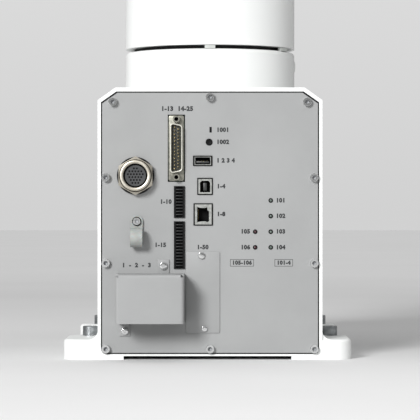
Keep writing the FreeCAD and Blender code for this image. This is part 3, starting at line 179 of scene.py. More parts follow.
white_coat = finish("white_powder_coat_on_cast_aluminium", ("#e9ebea", "#eeefee"), 0.12,
                    ("ShaderNodeTexNoise", {"Scale": 700, "Detail": 2}), 0.00004,
                    {"Roughness": 0.42, "IOR": 1.5, "Coat Weight": 0.15, "Coat Roughness": 0.3})
dress(white_coat, "base_casting", "turret_casting", "turret_side_cover", "lower_arm_casting",
      "lower_arm_cover", "elbow_casting", "elbow_end_cover", "elbow_rear_cover", "forearm_casting",
      "wrist_covers", "wrist_casting")

# Foot bolts: four M8 socket head cap screws of zinc plated steel that hold the base to its table
# through the foot lugs. New pieces are drawn in millimetres and made metres in make_piece.
TURNS = {
    "+z": Matrix(),
    "-y": Matrix.Rotation(radians(90), 4, "X"),
    "+y": Matrix.Rotation(radians(-90), 4, "X"),
    "-x": Matrix.Rotation(radians(-90), 4, "Y"),
    "+x": Matrix.Rotation(radians(90), 4, "Y"),
}


def seat_at(x, y, z, towards):
    return Matrix.Translation((x, y, z)) @ TURNS[towards]


def span(node):
    low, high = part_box(node)
    return low * 1000, high * 1000


def node_middle(node):
    low, high = span(node)
    return (low.x + high.x) / 2, (low.z + high.z) / 2


def make_piece(name, bm, material, body, replaced=(), sharp=35, inner=None):
    bmesh.ops.remove_doubles(bm, verts=bm.verts, dist=1e-5)
    bmesh.ops.recalc_face_normals(bm, faces=bm.faces)
    bmesh.ops.scale(bm, vec=(0.001, 0.001, 0.001), verts=bm.verts)
    for face in bm.faces:
        face.smooth = True
    mesh = bpy.data.meshes.new(name)
    bm.to_mesh(mesh)
    bm.free()
    mesh.set_sharp_from_angle(angle=radians(sharp))
    mesh.materials.append(material)
    if inner:
        mesh.materials.append(inner)
    piece = bpy.data.objects.new(name, mesh)
    scene.collection.objects.link(piece)
    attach(piece, body)
    if replaced:
        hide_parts(*replaced)


# An outline of radius and height, turned about the local Z and put in its place
def lathe(bm, outline, place, steps=48):
    older = set(bm.verts)
    rim = [bm.verts.new((radius, 0, height)) for radius, height in outline]
    edges = [bm.edges.new(pair) for pair in zip(rim, rim[1:])]
    bmesh.ops.spin(bm, geom=rim + edges, cent=(0, 0, 0), axis=(0, 0, 1), angle=2 * pi, steps=steps,
                   use_merge=True, use_duplicate=False)
    bmesh.ops.remove_doubles(bm, verts=[vert for vert in bm.verts if vert not in older], dist=1e-5)
    fresh = [vert for vert in bm.verts if vert not in older]
    bmesh.ops.transform(bm, matrix=place, verts=fresh)
    return fresh


# Radius of a hexagon at an angle, by the width across its flats
def hexagon(flats, angle):
    return flats / 2 / cos(angle % (pi / 3) - pi / 6)


# A socket head: knurled side, chamfered rim and a hexagon socket, which is turned round at first,
# with a radius of this share of its width across the flats
SOCKET_ROUND = 0.53


def socket_head(bm, radius, height, flats, place, steps=48, knurl=0.0):
    chamfer = radius * 0.08
    socket = flats * SOCKET_ROUND
    deep = height * 0.78
    outline = [(0, 0), (radius, 0), (radius, height * 0.12), (radius, height - chamfer),
               (radius - chamfer, height), (socket * 1.12, height), (socket, height - 0.08 * radius),
               (socket, height - deep), (0, height - deep)]
    fresh = lathe(bm, outline, Matrix(), steps)
    for vert in fresh:
        reach = hypot(vert.co.x, vert.co.y)
        angle = atan2(vert.co.y, vert.co.x)
        if abs(reach - socket) < 1e-3:
            vert.co.xy *= hexagon(flats, angle) / reach
        elif abs(reach - radius) < 1e-3 and round(angle * steps / (2 * pi)) % 2:
            vert.co.xy *= (radius - knurl) / radius
    # Painted shade: the faces down in the socket take the second material, a darker, duller steel.
    for face in {face for vert in fresh for face in vert.link_faces}:
        if all(hypot(vert.co.x, vert.co.y) < socket * 1.2 for vert in face.verts):
            face.material_index = int(face.calc_center_median().z < height - 0.1 * radius)
    bmesh.ops.transform(bm, matrix=place, verts=fresh)


zinc = finish("zinc_plated_steel", ("#7f8284", "#a3a6a8"), 0.004,
              ("ShaderNodeTexNoise", {"Scale": 2500, "Detail": 2}), 0.00001,
              {"Metallic": 1.0, "Roughness": 0.36})
foot_top = 16.4
bolt_reach = 100
bm = bmesh.new()
for x in (-bolt_reach, bolt_reach):
    for y in (-bolt_reach, bolt_reach):
        lathe(bm, [(0, 0), (3.9, 0), (3.9, foot_top), (0, foot_top)], seat_at(x, y, 0, "+z"), 24)
        socket_head(bm, 6.5, 8, 6, seat_at(x, y, foot_top, "+z"), 72, 0.05)
make_piece("foot_bolts", bm, zinc, "base", inner=zinc)

# Rear panel: steel sheet with a grey textured enamel, baked on, that looks flat and slightly
# speckled. It lies in a recess in the rim of the casting.
grey_enamel = finish("grey_textured_enamel_on_steel_sheet", ("#959696", "#9a9b9b"), 0.05,
                     ("ShaderNodeTexNoise", {"Scale": 1500, "Detail": 3}), 0.00005,
                     {"Roughness": 0.5, "IOR": 1.5})
dress(grey_enamel, "rear_panel")
face_y = span("rear_panel")[0].y

# Panel gap: a strip of the black nitrile rubber finish fills the gap between the panel and the rim of the
# casting. Its black is painted shade, so the gap shows as a thin dark line. The rim's lower corners are cast
# round, so two small white webs fill them.
seal_rubber = finish("black_nitrile_rubber", ("#0b0b0c", "#121213"), 0.01,
                     ("ShaderNodeTexNoise", {"Scale": 1800, "Detail": 2}), 0.00003,
                     {"Roughness": 0.6, "IOR": 1.5, "Specular IOR Level": 0.25})
panel_low, panel_high = span("rear_panel")
panel_gap = 0.88
panel_cut = 12.5, 8.7
rim_corner = 4.2
sheet_corner = 3.6
shade_strip_deep = 0.9


# Grows faces along a shift and gives the new ones. A lone region keeps its first faces as its back.
def extrude(bm, faces, shift):
    region = dict.fromkeys(part for face in faces for part in (face, *face.edges, *face.verts))
    grown = bmesh.ops.extrude_face_region(bm, geom=list(region))["geom"]
    verts = [part for part in grown if isinstance(part, bmesh.types.BMVert)]
    bmesh.ops.translate(bm, verts=verts, vec=shift)
    return [part for part in grown if isinstance(part, bmesh.types.BMFace)]


def add_part(bm, part, place):
    bmesh.ops.transform(part, matrix=place, verts=part.verts)
    carried = bpy.data.meshes.new("part")
    part.to_mesh(carried)
    part.free()
    bm.from_mesh(carried)
    bpy.data.meshes.remove(carried)


# A plate of any outline with openings through it, between two heights of its place
def sleeve(bm, outer, openings, low, high, place):
    part = bmesh.new()
    edges = []
    for outline in (outer, *openings):
        loop = [part.verts.new((x, y, low)) for x, y in outline]
        edges += [part.edges.new(pair) for pair in zip(loop, loop[1:] + loop[:1])]
    bmesh.ops.triangle_fill(part, use_beauty=True, use_dissolve=False, edges=edges, normal=(0, 0, 1))
    extrude(part, part.faces[:], (0, 0, high - low))
    add_part(bm, part, place)


def corner_arc(right, low, radius):
    turns = [pi / 2 * step / 6 for step in range(7)]
    return [(right - radius + radius * sin(turn), low + radius - radius * cos(turn)) for turn in turns]


# The panel's outline, cut at the upper corners and rounded at the lower ones
def panel_outline(grow, corner):
    wide, low, high = panel_high.x + grow, panel_low.z - grow, panel_high.z + grow
    half = corner_arc(wide, low, corner)
    half += [(wide, high - panel_cut[1]), (wide - panel_cut[0], high)]
    return half + [(-x, z) for x, z in reversed(half)]


# Painted shade: the black strip in the gap round the panel.
bm = bmesh.new()
on_panel = seat_at(0, face_y, 0, "-y")
sleeve(bm, panel_outline(panel_gap, rim_corner), [panel_outline(-0.12, sheet_corner)], -shade_strip_deep, 0.08,
       on_panel)
make_piece("panel_gap_painted_shade_strip", bm, seal_rubber, "base")
bm = bmesh.new()
edge_x, edge_z = panel_high.x + panel_gap, panel_low.z - panel_gap
web = [(edge_x, edge_z), *reversed(corner_arc(edge_x, edge_z, rim_corner))]
for side in (-1, 1):
    part = bmesh.new()
    face = part.faces.new([part.verts.new((side * x, z, -shade_strip_deep)) for x, z in web])
    extrude(part, [face], (0, 0, shade_strip_deep + 0.15))
    add_part(bm, part, on_panel)
make_piece("rim_corner_webs", bm, white_coat, "base")

# Panel screws: ten M4 cap screws, turned from stainless steel, that hold the panel to the casting. Their
# heads are bright; their sockets take a duller, less metallic copy of the steel as painted shade in the
# recess.
stainless = finish("turned_stainless_steel", ("#d8d9d9", "#e4e5e5"), 0.003,
                   ("ShaderNodeTexNoise", {"Scale": 3000, "Detail": 2}), 0.0000008,
                   {"Metallic": 1.0, "Roughness": 0.17})
socket_shade_steel = finish("socket_painted_shade_steel", ("#a2a4a6", "#b2b4b6"), 0.003,
                    ("ShaderNodeTexNoise", {"Scale": 2500, "Detail": 2}), 0.000001,
                    {"Metallic": 0.3, "Roughness": 0.45})
panel_screw_spots = ([(side * 78.7, 208.9) for side in (-1, 1)] + [(0, 212.7), (0, 8.8)]
                     + [(side * 84.4, height) for side in (-1, 1) for height in (147.7, 78.3, 8.8)])
bm = bmesh.new()
for x, z in panel_screw_spots:
    socket_head(bm, 3.5, 4, 3, seat_at(x, face_y, z, "-y"), 48, 0.06)
make_piece("panel_screw_heads", bm, stainless, "base", ["panel_screws"], inner=socket_shade_steel)

# Numbers on the panel: dark grey ink, screen printed, a few hundredths of a millimetre thick.
# They stand for the ways of each socket and lamp.
ink = finish("screen_printed_ink", ("#191b1d", "#222426"), 0.01,
             ("ShaderNodeTexNoise", {"Scale": 4000, "Detail": 1}), 0.000005, {"Roughness": 0.55})
ink_depth = 0.05
capital = 0.7


def print_number(bm, text, x, z, height, align="LEFT"):
    curve = bpy.data.curves.new("number", "FONT")
    curve.body = text
    curve.size = height / capital
    curve.align_x = align
    curve.align_y = "CENTER"
    curve.offset = 0.09 * height
    curve.space_character = 1.12
    curve.extrude = ink_depth / 2
    curve.resolution_u = 3
    holder = bpy.data.objects.new("number", curve)
    scene.collection.objects.link(holder)
    bpy.context.view_layer.update()
    drawn = bpy.data.meshes.new_from_object(holder.evaluated_get(bpy.context.evaluated_depsgraph_get()))
    drawn.transform(seat_at(x, face_y - ink_depth / 2, z, "-y"))
    bm.from_mesh(drawn)
    bpy.data.objects.remove(holder)
    bpy.data.curves.remove(curve)
    bpy.data.meshes.remove(drawn)


def rectangle(width, height):
    wide, tall = width / 2, height / 2
    return [(-wide, -tall), (wide, -tall), (wide, tall), (-wide, tall)]


bm = bmesh.new()
print_number(bm, "1-13  14-25", -26.6, 203.2, 3.4, "CENTER")
for text, x, z in (("1001", 5.4, 186.1), ("1002", 5.4, 176.3), ("1 2 3 4", 5.4, 161.3), ("1-4", 5.7, 140.4),
                   ("1-8", 5.7, 117.9), ("101", 53.5, 129.0), ("102", 53.5, 116.4), ("103", 53.5, 103.8),
                   ("104", 53.5, 91.0)):
    print_number(bm, text, x, z, 3.2)
for text, x, z in (("105", 32.4, 103.8), ("106", 32.4, 91.0), ("1-10", -31.2, 127.9),
                   ("1-15", -35.6, 92.9)):
    print_number(bm, text, x, z, 3.2, "RIGHT")
print_number(bm, "1-50", -5.9, 91.1, 3.2, "CENTER")
print_number(bm, "1  -  2  -  3", -59.5, 76.5, 3.2, "CENTER")
frame_z = 78.5
for low_x, high_x, text in ((16.3, 35.5, "105-106"), (52.3, 67.1, "101-4")):
    middle, wide = (low_x + high_x) / 2, high_x - low_x
    sleeve(bm, rectangle(wide, 5.8), [rectangle(wide - 0.7, 5.1)], 0, ink_depth,
           seat_at(middle, face_y, frame_z, "-y"))
    print_number(bm, text, middle, frame_z, 3, "CENTER")
make_piece("panel_numbers", bm, ink, "base")

# D connector: a drawn and tinned steel shell, its D-shaped ring standing on the flange, with two turned
# jackscrews that a plug's thumbscrews go into. Ring and flange are one shell, but the ring takes a lighter,
# more metallic copy of the tin as a painted highlight.
tin = finish("tinned_steel", ("#77776f", "#97968b"), 0.0025,
             ("ShaderNodeTexNoise", {"Scale": 1500, "Detail": 3}), 0.00003,
             {"Metallic": 0.75, "Roughness": 0.42})
ring_highlight_tin = finish("drawn_tin_painted_highlight", ("#c4c3b9", "#d8d7ce"), 0.004,
                    ("ShaderNodeTexNoise", {"Scale": 2000, "Detail": 2}), 0.000004,
                    {"Metallic": 0.9, "Roughness": 0.46})
d_low, d_high = span("d_connector_shell")
d_x, d_z = node_middle("d_connector_shell")
d_width, d_height = d_high.x - d_low.x, d_high.z - d_low.z
ring_width, ring_height, ring_wall, ring_proud, flange_thick = 10.1, 40.9, 1, 5.5, 1
jackscrew_step = 47


# The corners of an outline, rounded
def round_corners(corners, radius, segments=5):
    part = bmesh.new()
    part.faces.new([part.verts.new((x, y, 0)) for x, y in corners])
    bmesh.ops.bevel(part, geom=part.verts[:], affect="VERTICES", offset=radius, offset_type="OFFSET",
                    segments=segments, profile=0.5, material=-1)
    part.faces.ensure_lookup_table()
    points = [(vert.co.x, vert.co.y) for vert in part.faces[0].verts]
    part.free()
    return points


def soften(bm, radius, picker, segments=2):
    bmesh.ops.bevel(bm, geom=[edge for edge in bm.edges if picker(edge)], affect="EDGES", offset=radius,
                    segments=segments, profile=0.5, material=-1)


def level(edge, height):
    return all(abs(vert.co.z - height) < 1e-4 for vert in edge.verts)


# A plate of any outline, with its upper edge rounded
def plate(bm, outline, low, high, radius, place):
    part = bmesh.new()
    extrude(part, [part.faces.new([part.verts.new((x, y, low)) for x, y in outline])], (0, 0, high - low))
    soften(part, radius, lambda edge: level(edge, high))
    add_part(bm, part, place)


def d_shape(grow):
    wide, tall = ring_width / 2 + grow, ring_height / 2 + grow
    lean = ring_width * 0.176
    return [(-wide, -tall), (wide, lean - tall), (wide, tall - lean), (-wide, tall)]


d_place = seat_at(d_x, face_y, d_z, "-y")
jackscrews = [seat_at(d_x, face_y - flange_thick, d_z + side * jackscrew_step / 2, "-y") for side in (-1, 1)]
bm = bmesh.new()
plate(bm, round_corners(rectangle(d_width, d_height), 1.6), 0, flange_thick, 0.3, d_place)
for at in jackscrews:
    lathe(bm, [(0, 0), (2.9, 0), (2.9, 4.1), (2.5, 4.5), (1.8, 4.5), (1.6, 4.3), (1.6, -4), (0, -4)], at, 24)
make_piece("d_connector_flange", bm, tin, "base", ["d_connector_shell"])
# Painted highlight: the ring gets the lighter copy of the shell's tin.
bm = bmesh.new()
ring = bmesh.new()
sleeve(ring, round_corners(d_shape(0), 2.6), [round_corners(d_shape(-ring_wall), 1.8)], flange_thick,
       ring_proud, Matrix())
soften(ring, 0.35, lambda edge: level(edge, ring_proud) and len(edge.link_faces) == 2
       and any(abs(face.normal.z) < 0.5 for face in edge.link_faces), 3)
add_part(bm, ring, d_place)
make_piece("d_connector_ring", bm, ring_highlight_tin, "base")

# Its insert is a dark glass filled moulding, pressed into the shell. It carries twenty-five gold
# plated pins in two rows, which stand in small moulded collars.
olive_moulding = finish("glass_filled_polyester_moulding", ("#23241c", "#2e2f25"), 0.006,
                        ("ShaderNodeTexNoise", {"Scale": 2500, "Detail": 2}), 0.00002,
                        {"Roughness": 0.5, "IOR": 1.55})
gold = finish("gold_plated_bronze", ("#a08d5c", "#b8a571"), 0.002,
              ("ShaderNodeTexNoise", {"Scale": 4000, "Detail": 1}), 0.000004,
              {"Metallic": 1.0, "Roughness": 0.36})
pin_pitch = 2.77
row_gap = 2.84
insert_thick = 0.4
pin_spots = [(column * row_gap / 2, (way - (ways - 1) / 2) * pin_pitch)
             for column, ways in ((-1, 13), (1, 12)) for way in range(ways)]
bm = bmesh.new()
plate(bm, round_corners(d_shape(-ring_wall - 0.05), 1.95), 0, flange_thick + insert_thick, 0.1, d_place)
for across, up in pin_spots:
    lathe(bm, [(0.5, 0), (1.0, 0), (1.0, 0.25), (0.75, 0.35), (0.5, 0.35), (0.5, 0)],
          seat_at(d_x + across, face_y - flange_thick - insert_thick, d_z + up, "-y"), 12)
make_piece("d_connector_moulding", bm, olive_moulding, "base", ["d_connector_insert"])
bm = bmesh.new()
for across, up in pin_spots:
    lathe(bm, [(0, 0), (0.48, 0), (0.48, 2.7), (0.28, 3.2), (0, 3.3)],
          seat_at(d_x + across, face_y - flange_thick - insert_thick, d_z + up, "-y"), 12)
make_piece("d_connector_gold_pins", bm, gold, "base", ["d_connector_pins"])

# Circular connector: a nickel plated brass barrel with a threaded outside, clamped by a hexagon
# nut with a turned chamfer. A black rubber seal lies between the nut and the panel.
nickel = finish("satin_nickel_plated_brass", ("#b3ada0", "#cbc6ba"), 0.006,
                ("ShaderNodeTexNoise", {"Scale": 1800, "Detail": 2}), 0.000004,
                {"Metallic": 1.0, "Roughness": 0.42})
hub_x, hub_z = node_middle("circular_connector_nut")
flange_face, barrel_proud, nut_thick = 2, 12, 5
barrel_radius, barrel_bore = 12.45, 9.6
hub_place = seat_at(hub_x, face_y, hub_z, "-y")
thread = []
for turn in range(4):
    height = flange_face + nut_thick + 0.3 + turn
    thread += [(barrel_radius, height), (barrel_radius - 0.35, height + 0.25),
               (barrel_radius - 0.35, height + 0.5), (barrel_radius, height + 0.75)]
bm = bmesh.new()
lathe(bm, [(barrel_bore, 0), (barrel_radius, 0), *thread, (barrel_radius, barrel_proud - 0.7),
           (barrel_radius - 0.2, barrel_proud - 0.2), (barrel_radius - 0.7, barrel_proud),
           (barrel_bore + 1, barrel_proud), (barrel_bore + 0.3, barrel_proud - 0.3),
           (barrel_bore, barrel_proud - 1), (barrel_bore, 0)], hub_place, 96)
make_piece("circular_connector_barrel", bm, nickel, "base", ["circular_connector_shell"])
nut_flats = 27.3
nut_corner = nut_flats / 2 / cos(pi / 6)
nut_face = nut_flats / 2 * 0.97
nut_bore = barrel_radius + 0.02
bm = bmesh.new()
fresh = lathe(bm, [(nut_bore, 0), (nut_corner, 0), (nut_corner, nut_thick - 1), (nut_face, nut_thick),
                   (barrel_radius + 0.75, nut_thick), (nut_bore, nut_thick - 1.6), (nut_bore, 0)],
              Matrix(), 96)
for vert in fresh:
    reach = hypot(vert.co.x, vert.co.y)
    if abs(reach - nut_corner) < 1e-3:
        side = hexagon(nut_flats, atan2(vert.co.y, vert.co.x) + pi / 6)
        vert.co.xy *= side / reach
        if vert.co.z > 1:
            vert.co.z = nut_thick - (side - nut_face) * 0.6
bmesh.ops.transform(bm, matrix=seat_at(hub_x, face_y - flange_face, hub_z, "-y"), verts=fresh)
make_piece("circular_connector_hexagon_nut", bm, nickel, "base",
           ["circular_connector_nut"], 20)
bm = bmesh.new()
lathe(bm, [(nut_bore, 0), (15.15, 0), (15.15, 1.4), (14.8, 1.9), (nut_bore, 1.9), (nut_bore, 0)],
      hub_place, 64)
make_piece("circular_connector_seal", bm, seal_rubber, "base")

# Its insert is a dark grey moulding with a hole for each of its ways, set deep in the barrel. A black back
# behind it is painted shade that makes the holes look dark.
grey_moulding = finish("dark_grey_moulding", ("#404142", "#48494a"), 0.008,
                       ("ShaderNodeTexNoise", {"Scale": 2500, "Detail": 2}), 0.00002,
                       {"Roughness": 0.5, "IOR": 1.5, "Specular IOR Level": 0.3})
black_moulding = finish("black_nylon_moulding", ("#060707", "#0b0c0c"), 0.006,
                        ("ShaderNodeTexNoise", {"Scale": 2200, "Detail": 2}), 0.00003,
                        {"Roughness": 0.6, "IOR": 1.53, "Specular IOR Level": 0.15})
way_rows = (2, 5, 6, 5, 4, 3)
way_pitch = 2.4
insert_radius, insert_proud, hole_radius, face_thick = 8.45, 8.5, 0.8, 1.2


def round_outline(x, y, radius, steps):
    return [(x + radius * cos(2 * pi * step / steps), y + radius * sin(2 * pi * step / steps))
            for step in range(steps)]


ways = [((way - (count - 1) / 2) * way_pitch, ((len(way_rows) - 1) / 2 - row) * way_pitch * 0.98)
        for row, count in enumerate(way_rows) for way in range(count)]
bm = bmesh.new()
sleeve(bm, round_outline(0, 0, insert_radius, 64), [round_outline(x, y, hole_radius, 12) for x, y in ways],
       insert_proud - face_thick, insert_proud, hub_place)
make_piece("circular_connector_ways", bm, grey_moulding, "base",
           ["circular_connector_insert"])
# Painted shade: a black back fills the barrel behind the insert's holes.
bm = bmesh.new()
lathe(bm, [(0, 0), (barrel_bore - 0.02, 0), (barrel_bore - 0.02, 4), (insert_radius, 4.2),
           (insert_radius, insert_proud - face_thick), (0, insert_proud - face_thick)], hub_place, 64)
make_piece("circular_connector_hole_shade", bm, black_moulding, "base")

# Ports: each has a black ring in the panel that draws a dark outline round it and closes its cavity at the
# back, a thin pressed metal shell inside it with the mouth that its plug needs, and a moulded tongue or
# sprung contacts deep in the dark. The tongues are coloured near-black as painted shade.
pressed_tin = finish("pressed_tin_plate", ("#b3b5b1", "#d2d4d0"), 0.003,
                     ("ShaderNodeTexNoise", {"Scale": 2500, "Detail": 2}), 0.00001,
                     {"Metallic": 1.0, "Roughness": 0.3})


def rounded_block(bm, x, y, z, radius=0.15):
    part = bmesh.new()
    middle = [(low + high) / 2 for low, high in (x, y, z)]
    sides = [high - low for low, high in (x, y, z)]
    bmesh.ops.create_cube(part, size=1, matrix=Matrix.Translation(middle) @ Matrix.Diagonal((*sides, 1)))
    soften(part, radius, lambda edge: True)
    add_part(bm, part, Matrix())


memory_mouth = round_corners(rectangle(12.3, 5.8), 0.3)
computer_mouth = [(-4.1, -4.7), (4.1, -4.7), (4.1, 3.2), (2.6, 4.6), (-2.6, 4.6), (-4.1, 3.2)]
network_mouth = [(-4.9, -6.4), (-1.8, -5.6), (1.8, -5.6), (3.4, -6.3), (4.7, -5.4), (4.7, 2.4), (3.4, 3.6),
                 (3.4, 5.9), (1.6, 5.3), (-2.2, 5.3), (-4.9, 6.1)]
port_deep = 12
shell_deep = 4
ports = (
    ("memory_port", (15.6, 8.3), (13.3, 6.7), memory_mouth),
    ("computer_port", (12.5, 13.7), (10.9, 12.1), computer_mouth),
    ("network_jack", (15.6, 17.9), (13.6, 16.3), network_mouth),
)
bm = bmesh.new()
for name, surround, shell, mouth in ports:
    x, z = node_middle(name)
    at = seat_at(x, face_y, z, "-y")
    sleeve(bm, round_corners(rectangle(*surround), 0.8), [rectangle(*shell)], -port_deep, 0.8, at)
    plate(bm, rectangle(*shell), -port_deep, 1 - port_deep, 0.05, at)
make_piece("port_surrounds", bm, black_moulding, "base",
           ["memory_port", "computer_port", "network_jack"])
bm = bmesh.new()
for name, surround, shell, mouth in ports:
    x, z = node_middle(name)
    sleeve(bm, rectangle(shell[0] - 0.05, shell[1] - 0.05), [mouth], -shell_deep, 0.4,
           seat_at(x, face_y, z, "-y"))
make_piece("port_shells", bm, pressed_tin, "base")
memory_x, memory_z = node_middle("memory_port")
computer_x, computer_z = node_middle("computer_port")
network_x, network_z = node_middle("network_jack")
# Painted shade: the tongues take this near-black grey for the shade in their mouths; the terminal release
# bars share the moulding.
tongue_shade_and_bar_moulding = finish("grey_moulding_and_painted_tongue_shade", ("#232525", "#2c2e2e"), 0.006,
                         ("ShaderNodeTexNoise", {"Scale": 2500, "Detail": 2}), 0.00002,
                         {"Roughness": 0.45, "IOR": 1.55})
bm = bmesh.new()
rounded_block(bm, (memory_x - 5.1, memory_x + 5.1), (face_y + 1, face_y + 11),
              (memory_z - 1.9, memory_z - 0.2))
rounded_block(bm, (computer_x - 1.5, computer_x + 1.5), (face_y + 1.4, face_y + 11),
              (computer_z - 3.4, computer_z + 2.9), 0.4)
make_piece("port_mouldings", bm, tongue_shade_and_bar_moulding, "base", ["port_tongues"])
bm = bmesh.new()
for way in range(8):
    height = network_z + (way - 3.5) * 1.02
    rounded_block(bm, (network_x - 4.5, network_x - 3.9), (face_y + 9.5, face_y + 11.5),
                  (height - 0.25, height + 0.25), 0.08)
for way in range(4):
    across = memory_x + (way - 1.5) * 2.3
    rounded_block(bm, (across - 0.5, across + 0.5), (face_y + 2.4, face_y + 8),
                  (memory_z - 0.25, memory_z - 0.1), 0.05)
make_piece("port_contacts", bm, gold, "base")

# Terminal blocks: black glass-filled mouldings with a slot for each way. A moulded grey release
# bar stands between two slots, where a screwdriver frees the wire.
dress(black_moulding, "terminal_blocks")
block_x, _ = node_middle("terminal_blocks")
way_step = 2.54
bar_low, bar_high = 1.08, 1.46
bm = bmesh.new()
for middle, ways in ((127.8, 10), (92.9, 15)):
    for way in range(ways - 1):
        height = middle + (way - (ways - 1) / 2) * way_step
        rounded_block(bm, (block_x - 2.6, block_x + 2.6), (face_y - 1.55, face_y - 0.5),
                      (height + bar_low, height + bar_high), 0.1)
make_piece("terminal_release_bars", bm, tongue_shade_and_bar_moulding, "base")


# Lamps: tinted acrylic light guides with domed ends, four green and two red, unlit. Each is
# pressed into a black moulded ring in its hole.
def dome(radius, base, proud, steps=5):
    turns = [pi / 2 * step / steps for step in range(steps)]
    return ([(0, 0), (radius, 0)] + [(radius * cos(turn), base + proud * sin(turn)) for turn in turns]
            + [(0, base + proud)])


green_lens = finish("green_tinted_acrylic", ("#55605a", "#616c66"), 0.004,
                    ("ShaderNodeTexNoise", {"Scale": 1200, "Detail": 1}), 0.00001,
                    {"Roughness": 0.18, "IOR": 1.49, "Coat Weight": 0.5})
red_lens = finish("red_tinted_acrylic", ("#3e2429", "#4c2d32"), 0.004,
                  ("ShaderNodeTexNoise", {"Scale": 1200, "Detail": 1}), 0.00001,
                  {"Roughness": 0.18, "IOR": 1.49, "Coat Weight": 0.5})
lamp_step = 12.65
lamp_inset = 1.8
lamp_spots = []
for node, lens, slot in (("green_lamps", green_lens, "green_lens"), ("red_lamps", red_lens, "red_lens")):
    low, high = span(node)
    x = (low.x + high.x) / 2
    count = round((high.z - low.z) / lamp_step) + 1
    spots = [(x, high.z - lamp_inset - row * lamp_step) for row in range(count)]
    bm = bmesh.new()
    for x, z in spots:
        lathe(bm, dome(1.05, 13.9, 0.5), seat_at(x, face_y + 14, z, "-y"), 32)
    make_piece(node + "_guides", bm, lens, "base", [node])
    lamp_spots += spots
bm = bmesh.new()
for x, z in lamp_spots:
    lathe(bm, [(1.06, 0), (1.85, 0), (1.85, 2.3), (1.6, 2.5), (1.2, 2.4), (1.06, 2), (1.06, 0)],
          seat_at(x, face_y + 2, z, "-y"), 32)
make_piece("lamp_rings", bm, black_moulding, "base")

# Power window: a slip of smoked acrylic, cast and polished, glued in flush with the panel. A lamp
# on the control board would show through it.
smoked = finish("smoked_acrylic", ("#0d0e0f", "#141516"), 0.004,
                ("ShaderNodeTexNoise", {"Scale": 900, "Detail": 1}), 0.00001,
                {"Roughness": 0.15, "IOR": 1.49, "Coat Weight": 0.6})
dress(smoked, "power_window")

# Reset button: a black moulded cap with a dished face, pressed with a finger or a pen. Its stem
# slides in the panel and works the switch on the control board.
reset_low, reset_high = span("reset_button")
reset_x, reset_z = node_middle("reset_button")
reset_long = reset_high.y - reset_low.y
cap_back = reset_high.y - (face_y + 2.6)
bm = bmesh.new()
lathe(bm, [(0, 0), (1.8, 0), (1.8, cap_back), (2.65, cap_back), (2.65, reset_long - 0.3), (2.35, reset_long),
           (1.9, reset_long), (1.2, reset_long - 0.22), (0, reset_long - 0.3)],
      seat_at(reset_x, reset_high.y, reset_z, "-y"), 48)
make_piece("reset_button_cap", bm, black_moulding, "reset_button", ["reset_button"])

# Option plate: a blank of painted steel sheet with its edges broken, over an unused opening. Two
# small screws hold it.
plate_low, plate_high = span("option_plate")
plate_x, plate_z = node_middle("option_plate")
bm = bmesh.new()
plate(bm, round_corners(rectangle(plate_high.x - plate_low.x, plate_high.z - plate_low.z), 1.2), 0, 1, 0.3,
      seat_at(plate_x, face_y, plate_z, "-y"))
make_piece("option_blank", bm, grey_enamel, "base", ["option_plate"])


# Inlet cover: steel sheet bent into a hood over the mains inlet, open below for the lead. Its top
# is a flap with a relief notch at each end, and a tab above and one below take its screws.
def bent_strip(bm, corners, width, thick, bend, place):
    strip = bmesh.new()
    path = [strip.verts.new((-width / 2, y, z)) for y, z in corners]
    runs = [strip.edges.new(pair) for pair in zip(path, path[1:])]
    grown = bmesh.ops.extrude_edge_only(strip, edges=runs)["geom"]
    bmesh.ops.translate(strip, vec=(width, 0, 0),
                        verts=[part for part in grown if isinstance(part, bmesh.types.BMVert)])
    bends = [edge for edge in strip.edges if len(edge.link_faces) == 2]
    bmesh.ops.bevel(strip, geom=bends, affect="EDGES", offset=bend, segments=6, profile=0.5, material=-1)
    bmesh.ops.recalc_face_normals(strip, faces=strip.faces)
    bmesh.ops.solidify(strip, geom=strip.faces[:], thickness=thick)
    add_part(bm, strip, place)


hood_low, hood_high = span("inlet_cover")
hood_x = (hood_low.x + hood_high.x) / 2 - 0.4
hood_wide = hood_high.x - hood_low.x + 0.8
hood_front = hood_low.y
hood_base, hood_top = 30.65, 69.95
sheet_thick, notch, top_bend, notch_deep = 1.2, 2.6, 2.2, 14
upper_screw = -37.7, 76.15
lower_screw = -68.9, 23.1
bm = bmesh.new()
flap_z = hood_top - top_bend
walls = Matrix.Translation((hood_x, 0, (hood_base + flap_z) / 2)) @ Matrix.Rotation(pi / 2, 4, "Y")
bent_strip(bm, [(face_y, -hood_wide / 2), (hood_front, -hood_wide / 2), (hood_front, hood_wide / 2),
                (face_y, hood_wide / 2)], flap_z - hood_base, sheet_thick, 2.6, walls)
bent_strip(bm, [(hood_front, flap_z), (hood_front, hood_top), (face_y, hood_top)],
           hood_wide - 2 * notch, sheet_thick, top_bend - 0.05, Matrix.Translation((hood_x, 0, 0)))
for side in (-1, 1):
    edge_x = hood_x + side * (hood_wide - notch) / 2
    rounded_block(bm, (edge_x - notch / 2, edge_x + notch / 2), (hood_front + notch_deep, face_y),
                  (flap_z, hood_top), 0.1)
plate(bm, round_corners(rectangle(9.6, 11.6), 0.6), 0, sheet_thick, 0.3,
      seat_at(upper_screw[0], face_y, 75.5, "-y"))
plate(bm, round_corners(rectangle(8.6, 12), 0.6), 0, sheet_thick, 0.3, seat_at(-69.1, face_y, 25.1, "-y"))
make_piece("inlet_hood", bm, grey_enamel, "base", ["inlet_cover"])


